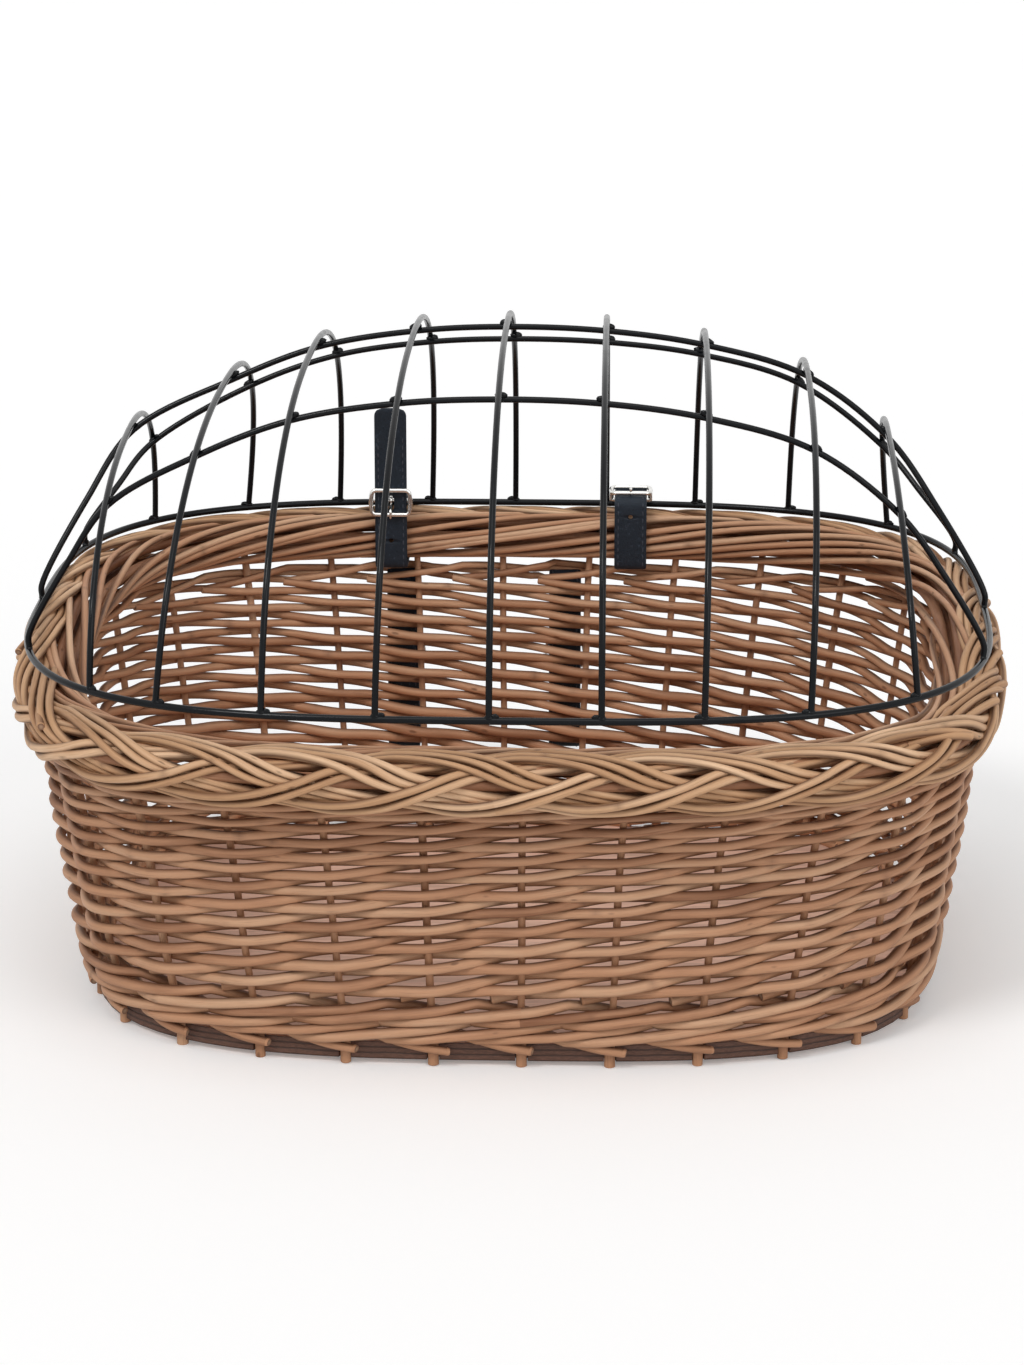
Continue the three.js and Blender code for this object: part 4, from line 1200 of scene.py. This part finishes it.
class BASKET_OT_welds(bpy.types.Operator):
    """Put a weld at each crossing of the dome and at each foot on the ring"""

    bl_idname = "basket.welds"
    bl_label = "Welds"

    def execute(self, context):
        wires = context.scene.basket_wires
        wire, bead = wires.wire_radius / MM, wires.bead_size / MM
        rng = np.random.default_rng(WELD_SEED)
        pile = Pile()
        hoops = all_hoops(wires.ring_radius / MM)
        for rail in RAILS.values():
            spots = [hoop.crossings(rail) for hoop in hoops]
            for i, (spot, normal) in enumerate(spots):
                ahead = unit(spots[min(i + 1, len(spots) - 1)][0] - spots[max(i - 1, 0)][0])
                across = np.cross(normal, ahead)
                side = rng.choice([-1, 1])
                middle = spot + normal * CROSSING_DEPTH / 2 + ahead * side * WELD_SHIFT
                half = [bead * 0.95, wire * 0.92, wire * 1.2]
                pile.ellipsoid(middle, [ahead, across, normal], half, rng, rough=0.05)
        outline = Outline(*RING_HALF)
        samples = np.linspace(0, 1, 721)
        ring = outline.at(samples) + [0, RING_BACK]
        feet = [hoop.at(end) for hoop in hoops for end in (-hoop.half, hoop.half)]
        for rail in RAILS.values():
            feet += rail_feet(rail, hoops[0].foot)
        for foot in feet:
            nearest = samples[np.argmin(np.linalg.norm(ring - foot[:2], axis=1))]
            ahead = np.array([*outline.ahead(nearest), 0])
            axes = [ahead, np.cross([0, 0, 1], ahead), [0, 0, 1]]
            side = 1 if math.cos(3 * np.arctan2(foot[1] - RING_BACK, foot[0])) > 0 else -1
            low = foot - [0, 0, wire * 0.4]
            pile.ellipsoid(low, axes, [wire * 1.5, wire * 1.08, wire * 0.95], rng, rough=0.04)
            beside = low + ahead * side * FOOT_WELD_SHIFT + [0, 0, 0.5]
            pile.ellipsoid(beside, axes, [wire * 1.5, wire * 0.55, wire * 1.0], rng, rough=0.05)
        finish_piece(pile.build("weld_beads"), "black_wire_coat", "lid")
        return {"FINISHED"}


# Straps

BUCKLE_HALF_HEIGHT = 7
BUCKLE_CORNER = 2.6
BUCKLE_BOW = 0.45
LID_BUCKLE_RISE = 6.5
FLAT_BUCKLE_RISE = 9
FLAT_BUCKLE_INSET = 13
LID_TAIL = 60
BEND_RADIUS = 5
RING_PLAY = 1.5
STRAP_STEP = 1.2
CAD_WIRE = 2.0
TAIL_CORNER = 4.5
SEAM_END = 0.93
SLOT_HALF = 1.8
HOLE_HALF = 1.3
PRONG_RADIUS = 0.85
# Heights of the punched holes that show, from the ring's height
PUNCHED = {"lid_strap_left": (-16,), "lid_strap_right": (-1.5,)}


class StrapSizes:
    """Distances shared by the straps and their buckles, in millimetres."""

    def __init__(self, scene):
        leather, wires = scene.basket_leather, scene.basket_wires
        self.width = leather.width / MM
        self.thick = leather.thickness / MM
        self.pitch = leather.stitch_pitch / MM
        self.seam = self.width / 2 - leather.stitch_inset / MM
        self.bar = wires.buckle_radius / MM
        self.in_strap = STRAP_GAP + self.thick / 2
        self.curl = self.bar + self.in_strap
        self.front = -(STRAP_GAP + self.bar)
        self.back = self.thick + STRAP_GAP + self.bar
        self.side = self.width / 2 + STRAP_GAP + self.bar

    def back_span(self, half, x):
        across = (-self.width / 2, 0, self.width / 2)
        reach = [half[1] * float(supercurve((x + d) / half[0], SQUARENESS)) for d in across]
        return min(reach), max(reach)

    def levels(self, x):
        border = self.back_span(BORDER_HALF, x)
        ring = self.back_span(RING_HALF, x)
        spread = (ring[1] - ring[0]) / 2
        return {
            "face": border[0] - BORDER_SECTION[0] - STRAP_GAP - self.thick,
            "middle": border[0] - BORDER_SECTION[0] - self.in_strap,
            "border": [border[1], BORDER_HEIGHT],
            "ring": [ring[0] + spread + RING_BACK, RING_HEIGHT],
            "over": CAD_WIRE + RING_PLAY + self.in_strap + spread,
        }


def arc(centre, radius, angles, fullness=2.0):
    """Points of a rounded arc at angles in degrees, with one radius or two."""
    across, up = radius if isinstance(radius, list) else (radius, radius)
    points = []
    for angle in np.radians(angles):
        c, s = (float(signed_power(wave, 2 / fullness)) for wave in (math.cos(angle), math.sin(angle)))
        points.append([centre[0] + across * c, centre[1] + up * s])
    return points


def lid_strap_start(sizes, level, bar, curl_angles, ring_angles):
    """A lid strap's run from its buckle's bar over the ring and the border, and in under the border."""
    under = wall_top(BORDER_HALF[1]) + TOUCH - sizes.in_strap
    around = [half + sizes.in_strap for half in BORDER_SECTION]
    path = arc(bar, sizes.curl, curl_angles)
    path += arc(level["ring"], level["over"], ring_angles)
    path += arc(level["border"], around, (35, 10, -15, -40, -62, -78), BORDER_FULLNESS)
    m = level["middle"]
    return path + [[level["border"][0], under], [m + 3, under], [m + 0.8, under + 0.8], [m, under + 3]]


def strap_paths(sizes):
    """The (y, z) path of each strap, with its x, its buckle's place and turn, and its tail's corner."""
    made = {}
    x = LID_STRAPS["left"]
    level = sizes.levels(x)
    face, height = level["face"], RING_HEIGHT + LID_BUCKLE_RISE
    path = lid_strap_start(sizes, level, [face + sizes.back, height], [-80, -45, 0], [115, 80, 45, 10])
    path += [[level["middle"], z] for z in np.linspace(RING_HEIGHT, RING_HEIGHT + LID_TAIL, 5)]
    made["lid_strap_left"] = (x, path, (x, face, height), Matrix.Identity(3), TAIL_CORNER)

    x = LID_STRAPS["right"]
    level = sizes.levels(x)
    height = RING_HEIGHT + FLAT_BUCKLE_RISE
    bar_y = level["middle"] + FLAT_BUCKLE_INSET
    path = lid_strap_start(sizes, level, [bar_y, height - sizes.back], [205, 235, 270], [80, 45, 10])
    run = height - sizes.thick / 2
    path += arc([level["middle"] + BEND_RADIUS, run - BEND_RADIUS], BEND_RADIUS, (180, 150, 120, 90))
    path.append([bar_y + BUCKLE_HALF_HEIGHT + BEND_RADIUS, run])
    behind = sizes.thick + STRAP_GAP + sizes.in_strap
    reach = [BORDER_SECTION[0] + behind, RING_HEIGHT + CAD_WIRE + RING_PLAY + behind - BORDER_HEIGHT]
    path += arc(level["border"], reach, (50, 25, 5, -15), BORDER_FULLNESS)
    lying = Matrix.Rotation(-math.pi / 2, 3, "X")
    made["lid_strap_right"] = (x, path, (x, bar_y, height), lying, TAIL_CORNER)

    for side, x in BAR_STRAPS.items():
        low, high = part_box(f"bar_strap_{side}")
        inner, outer = low.y / MM + sizes.thick / 2, high.y / MM - sizes.thick / 2
        radius, centre = (outer - inner) / 2, (outer + inner) / 2
        top = high.z / MM - sizes.thick / 2 - radius
        bottom = low.z / MM + sizes.thick / 2 + radius
        path = [[centre + radius, z] for z in np.linspace(bottom, top, 14)]
        path += arc([centre, top], radius, np.linspace(0, 180, 13)[1:])
        path += [[centre - radius, z] for z in np.linspace(top, bottom, 14)[1:]]
        path += arc([centre, bottom], radius, np.linspace(180, 360, 13)[1:-1])
        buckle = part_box(f"bar_buckle_{side}")
        place = (x, high.y / MM, (buckle[0].z + buckle[1].z) / 2 / MM)
        made[f"bar_strap_{side}"] = (x, path, place, Matrix.Rotation(math.pi, 3, "Z"), 0)
    return made


def cut_slot(piece, place, turn, low, high):
    """Cuts a round-ended slot out of a piece, given in a buckle's own frame and put where the buckle is."""
    radius, middle = (high[0] - low[0]) / 2, (high[0] + low[0]) / 2
    ring = []
    for k in range(24):
        a = k / 24 * 2 * math.pi
        end = high[2] - radius if k < 12 else low[2] + radius
        ring.append((middle + radius * math.cos(a), end + radius * math.sin(a)))
    points = [(x, y, z) for y in (low[1], high[1]) for x, z in ring]
    points = [((turn @ Vector(p)) + Vector(place)) * MM for p in points]
    n = len(ring)
    faces = [list(range(n)), list(range(2 * n - 1, n - 1, -1))]
    faces += [[(k + 1) % n, k, n + k, n + (k + 1) % n] for k in range(n)]
    mesh = bpy.data.meshes.new("cutter")
    mesh.from_pydata(points, [], faces)
    cutter = bpy.data.objects.new("cutter", mesh)
    bpy.context.scene.collection.objects.link(cutter)
    modifier = piece.modifiers.new("cut", "BOOLEAN")
    modifier.operation, modifier.object, modifier.solver = "DIFFERENCE", cutter, "EXACT"
    bpy.context.view_layer.update()
    graph = bpy.context.evaluated_depsgraph_get()
    result = bpy.data.meshes.new_from_object(piece.evaluated_get(graph))
    piece.modifiers.clear()
    piece.data = result
    bpy.data.objects.remove(cutter)


def add_stitches(pile, path, x, sizes, last):
    """Two seams of short stitches on both faces of a strap, up to the last share of its length."""
    lengths = run_lengths(path)
    for at in np.arange(sizes.pitch, lengths[-1] * last - sizes.pitch, sizes.pitch):
        spot = read_path(path, lengths, at)
        ahead = unit(read_path(path, lengths, at + 0.5) - spot)
        normal = np.array([-ahead[1], ahead[0]])
        axes = [[0, *ahead], [1, 0, 0], [0, *normal]]
        half = [sizes.pitch * 0.36, 0.42, 0.36]
        for edge in (-1, 1):
            for face in (-1, 1):
                centre = spot + normal * face * (sizes.thick / 2 - 0.12)
                pile.ellipsoid([x + edge * sizes.seam, *centre], axes, half, rings=4, sides=6)


class BASKET_OT_straps(bpy.types.Operator):
    """Cut, bend and stitch the two lid straps and the two bar straps"""

    bl_idname = "basket.straps"
    bl_label = "Leather Straps"

    def execute(self, context):
        sizes = StrapSizes(context.scene)
        for name, (x, path, place, turn, tail) in strap_paths(sizes).items():
            closed = name.startswith("bar")
            track = np.array(path, float) if closed else even_path(smooth_path(path, 12), STRAP_STEP)
            pile = Pile()
            pile.strip(track, sizes.width, sizes.thick, x, tail, closed)
            strap = pile.build(name + "_leather")
            low = (-SLOT_HALF, -STRAP_GAP / 2 - 0.6, -BUCKLE_HALF_HEIGHT + sizes.bar + TOUCH)
            high = (SLOT_HALF, sizes.back + sizes.bar + BEND_RADIUS, BUCKLE_HALF_HEIGHT / 2)
            cut_slot(strap, place, turn, low, high)
            for rise in PUNCHED.get(name, ()):
                spot = (x, sizes.levels(x)["face"], RING_HEIGHT + rise)
                low, high = (-HOLE_HALF, -1, -HOLE_HALF), (HOLE_HALF, sizes.thick + 1, HOLE_HALF)
                cut_slot(strap, spot, Matrix.Identity(3), low, high)
            strap.data.shade_smooth()
            finish_piece(strap, "navy_black_leather", "basket", [name])
            seams = Pile()
            add_stitches(seams, track, x, sizes, SEAM_END if tail else 1.0)
            finish_piece(seams.build(name + "_stitches"), "waxed_thread", "basket")
        return {"FINISHED"}


def buckle_frame(sizes):
    """The buckle's wire paths in its own frame: the rounded rectangle, the centre bar and its two posts."""
    arcs = []
    for sx, sz, first in ((1, 1, 0), (-1, 1, 90), (-1, -1, 180), (1, -1, 270)):
        middle = [sx * (sizes.side - BUCKLE_CORNER), sz * (BUCKLE_HALF_HEIGHT - BUCKLE_CORNER)]
        arcs.append(np.array(arc(middle, BUCKLE_CORNER, np.linspace(first, first + 90, 7))))
    path = []
    for i, corner in enumerate(arcs):
        path += [*corner]
        start, end = corner[-1], arcs[(i + 1) % 4][0]
        for share in (0.25, 0.5, 0.75):
            point = start * (1 - share) + end * share
            if i % 2:
                point[0] += math.copysign(BUCKLE_BOW * math.sin(share * math.pi), point[0])
            path.append(point)
    loop = [[x, sizes.front, z] for x, z in path]
    bar = [[s * sizes.side, sizes.back, 0] for s in np.linspace(-1, 1, 9)]
    depths = np.linspace(sizes.front, sizes.back + 0.3, 6)
    posts = [[[s * (sizes.side + 0.2), y, 0] for y in depths] for s in (-1, 1)]
    return loop, bar, posts


def placed(points, place, turn):
    return np.asarray(points) @ np.array(turn).T + np.array(place)


class BASKET_OT_buckles(bpy.types.Operator):
    """Bend the four buckles from plated wire, each with a centre bar behind the strap"""

    bl_idname = "basket.buckles"
    bl_label = "Buckles"

    def execute(self, context):
        sizes = StrapSizes(context.scene)
        loop, bar, posts = buckle_frame(sizes)
        for name, (_, _, place, turn, _) in strap_paths(sizes).items():
            front, up = (np.array(turn) @ np.array(way) for way in ([0, -1, 0], [0, 0, 1]))
            pile = Pile()
            pile.tube(placed(loop, place, turn), sizes.bar, closed=True, ref=front, sides=BUCKLE_SIDES)
            for route, radius in ((bar, sizes.bar * 0.98), *((post, sizes.bar) for post in posts)):
                pile.tube(placed(route, place, turn), radius, ref=up, sides=BUCKLE_SIDES)
            node = name.replace("strap", "buckle")
            finish_piece(pile.build(node + "_frame"), "polished_nickel", "basket", [node])
        return {"FINISHED"}


class BASKET_OT_prongs(bpy.types.Operator):
    """Bend each buckle's prong round its centre bar and over its lower bar"""

    bl_idname = "basket.prongs"
    bl_label = "Prongs"

    def execute(self, context):
        sizes = StrapSizes(context.scene)
        clear = sizes.bar + TOUCH + PRONG_RADIUS
        eye = sizes.bar + 0.2 + PRONG_RADIUS
        tip_y = sizes.front - clear
        low = -BUCKLE_HALF_HEIGHT
        coil = [[0, y, z] for y, z in arc([sizes.back, 0], eye, range(215, -126, -20))]
        tongue = smooth_path([
            [0, sizes.back - eye * 0.9, -eye * 0.75], [0, sizes.front, low + 1.5 * clear],
            [0, tip_y, low + clear], [0, tip_y, low], [0, tip_y + 0.2, low - sizes.bar],
        ], 6)
        taper = np.linspace(PRONG_RADIUS * 1.15, PRONG_RADIUS * 0.75, len(tongue))
        for name, (_, _, place, turn, _) in strap_paths(sizes).items():
            side = np.array(turn) @ np.array([1, 0, 0])
            pile = Pile()
            pile.tube(placed(coil, place, turn), PRONG_RADIUS, ref=side)
            pile.tube(placed(tongue, place, turn), taper, ref=side, bevel=0.6)
            node = name.replace("strap", "prong")
            finish_piece(pile.build(node + "_wire"), "polished_nickel", node, [node])
        return {"FINISHED"}


# Stage

ROOM_LIGHT = 0.42
FLOOR_HALF = 9
# Each lamp's place, its spread in degrees and its strength
LAMPS = {
    "lamp_key": ((-0.8, -1.2, 1.6), 16, 0.86),
    "lamp_fill": ((1.2, -1.3, 0.9), 40, 0.55),
    "lamp_top": ((0.0, -0.7, 2.0), 40, 0.6),
}
CAMERA_PLACE = (0.07246, -2.00466, 0.74741)
CAMERA_DOWN, CAMERA_YAW = math.radians(16.67), math.radians(-2.07)
CAMERA_LENS, CAMERA_SENSOR = 105.94, 36.0
CAMERA_NEAR, CAMERA_FAR = 0.05, 60


class BASKET_OT_stage(bpy.types.Operator):
    """Set the floor, the soft lamps, the white surroundings and the camera"""

    bl_idname = "basket.stage"
    bl_label = "Stage"

    def execute(self, context):
        scene = context.scene
        mesh = bpy.data.meshes.new("floor")
        corners = [(x * FLOOR_HALF, y * FLOOR_HALF, 0) for x, y in ((-1, -1), (1, -1), (1, 1), (-1, 1))]
        mesh.from_pydata(corners, [], [(0, 1, 2, 3)])
        floor = bpy.data.objects.new("floor", mesh)
        scene.collection.objects.link(floor)
        mesh.materials.append(material("paper_floor"))

        world = bpy.data.worlds.new("white_room")
        scene.world = world
        world.use_nodes = True
        world.node_tree.nodes.clear()
        tree = Tree(world.node_tree)
        rays = tree.node("ShaderNodeLightPath").outputs
        shown = tree.math("MAXIMUM", rays["Is Camera Ray"], rays["Is Glossy Ray"])
        shown = tree.math("MAXIMUM", shown, rays["Is Transmission Ray"])
        strength = tree.plus(tree.times(shown, 1 - ROOM_LIGHT), ROOM_LIGHT)
        background = tree.node("ShaderNodeBackground")
        tree.fill(background, {"Color": (1, 1, 1, 1), "Strength": strength})
        tree.join(background.outputs[0], tree.node("ShaderNodeOutputWorld").inputs["Surface"])

        for name, (place, spread, power) in LAMPS.items():
            data = bpy.data.lights.new(name, "SUN")
            data.energy, data.angle = power, math.radians(spread)
            lamp = bpy.data.objects.new(name, data)
            scene.collection.objects.link(lamp)
            lamp.location = place
            lamp.rotation_euler = (-Vector(place)).to_track_quat("-Z", "Y").to_euler()

        data = bpy.data.cameras.new("camera")
        data.sensor_width, data.lens = CAMERA_SENSOR, CAMERA_LENS
        data.clip_start, data.clip_end = CAMERA_NEAR, CAMERA_FAR
        camera = bpy.data.objects.new("camera", data)
        scene.collection.objects.link(camera)
        camera.location = CAMERA_PLACE
        level = math.cos(CAMERA_DOWN)
        ahead = (math.sin(CAMERA_YAW) * level, math.cos(CAMERA_YAW) * level, -math.sin(CAMERA_DOWN))
        camera.rotation_euler = Vector(ahead).to_track_quat("-Z", "Y").to_euler()
        scene.camera = camera
        scene.view_settings.view_transform = "Standard"
        return {"FINISHED"}


STEPS = [
    BASKET_OT_stage, BASKET_OT_base_board, BASKET_OT_stakes, BASKET_OT_foot_waling, BASKET_OT_side_weave,
    BASKET_OT_top_waling, BASKET_OT_border, BASKET_OT_wires, BASKET_OT_welds, BASKET_OT_straps,
    BASKET_OT_buckles, BASKET_OT_prongs,
]
GROUPS = {
    "basket_weave": BasketWeave,
    "basket_wires": BasketWires,
    "basket_leather": BasketLeather,
    "basket_finish": BasketFinish,
}


class BASKET_PT_panel(bpy.types.Panel):
    """Sizes, colours and steps of the basket"""

    bl_label = "Willow Basket"
    bl_space_type = "VIEW_3D"
    bl_region_type = "UI"
    bl_category = "Basket"

    def draw(self, context):
        for group in GROUPS:
            settings = getattr(context.scene, group)
            box = self.layout.box()
            for name in settings.__annotations__:
                box.prop(settings, name)
        for step in STEPS:
            self.layout.operator(step.bl_idname)


def register():
    for name, group in GROUPS.items():
        bpy.utils.register_class(group)
        setattr(bpy.types.Scene, name, PointerProperty(type=group))
    for step in STEPS:
        bpy.utils.register_class(step)
    bpy.utils.register_class(BASKET_PT_panel)


def unregister():
    bpy.utils.unregister_class(BASKET_PT_panel)
    for step in reversed(STEPS):
        bpy.utils.unregister_class(step)
    for name, group in GROUPS.items():
        delattr(bpy.types.Scene, name)
        bpy.utils.unregister_class(group)


def main():
    register()
    for step in STEPS:
        getattr(bpy.ops.basket, step.bl_idname.split(".")[1])()


if __name__ == "__main__":
    main()
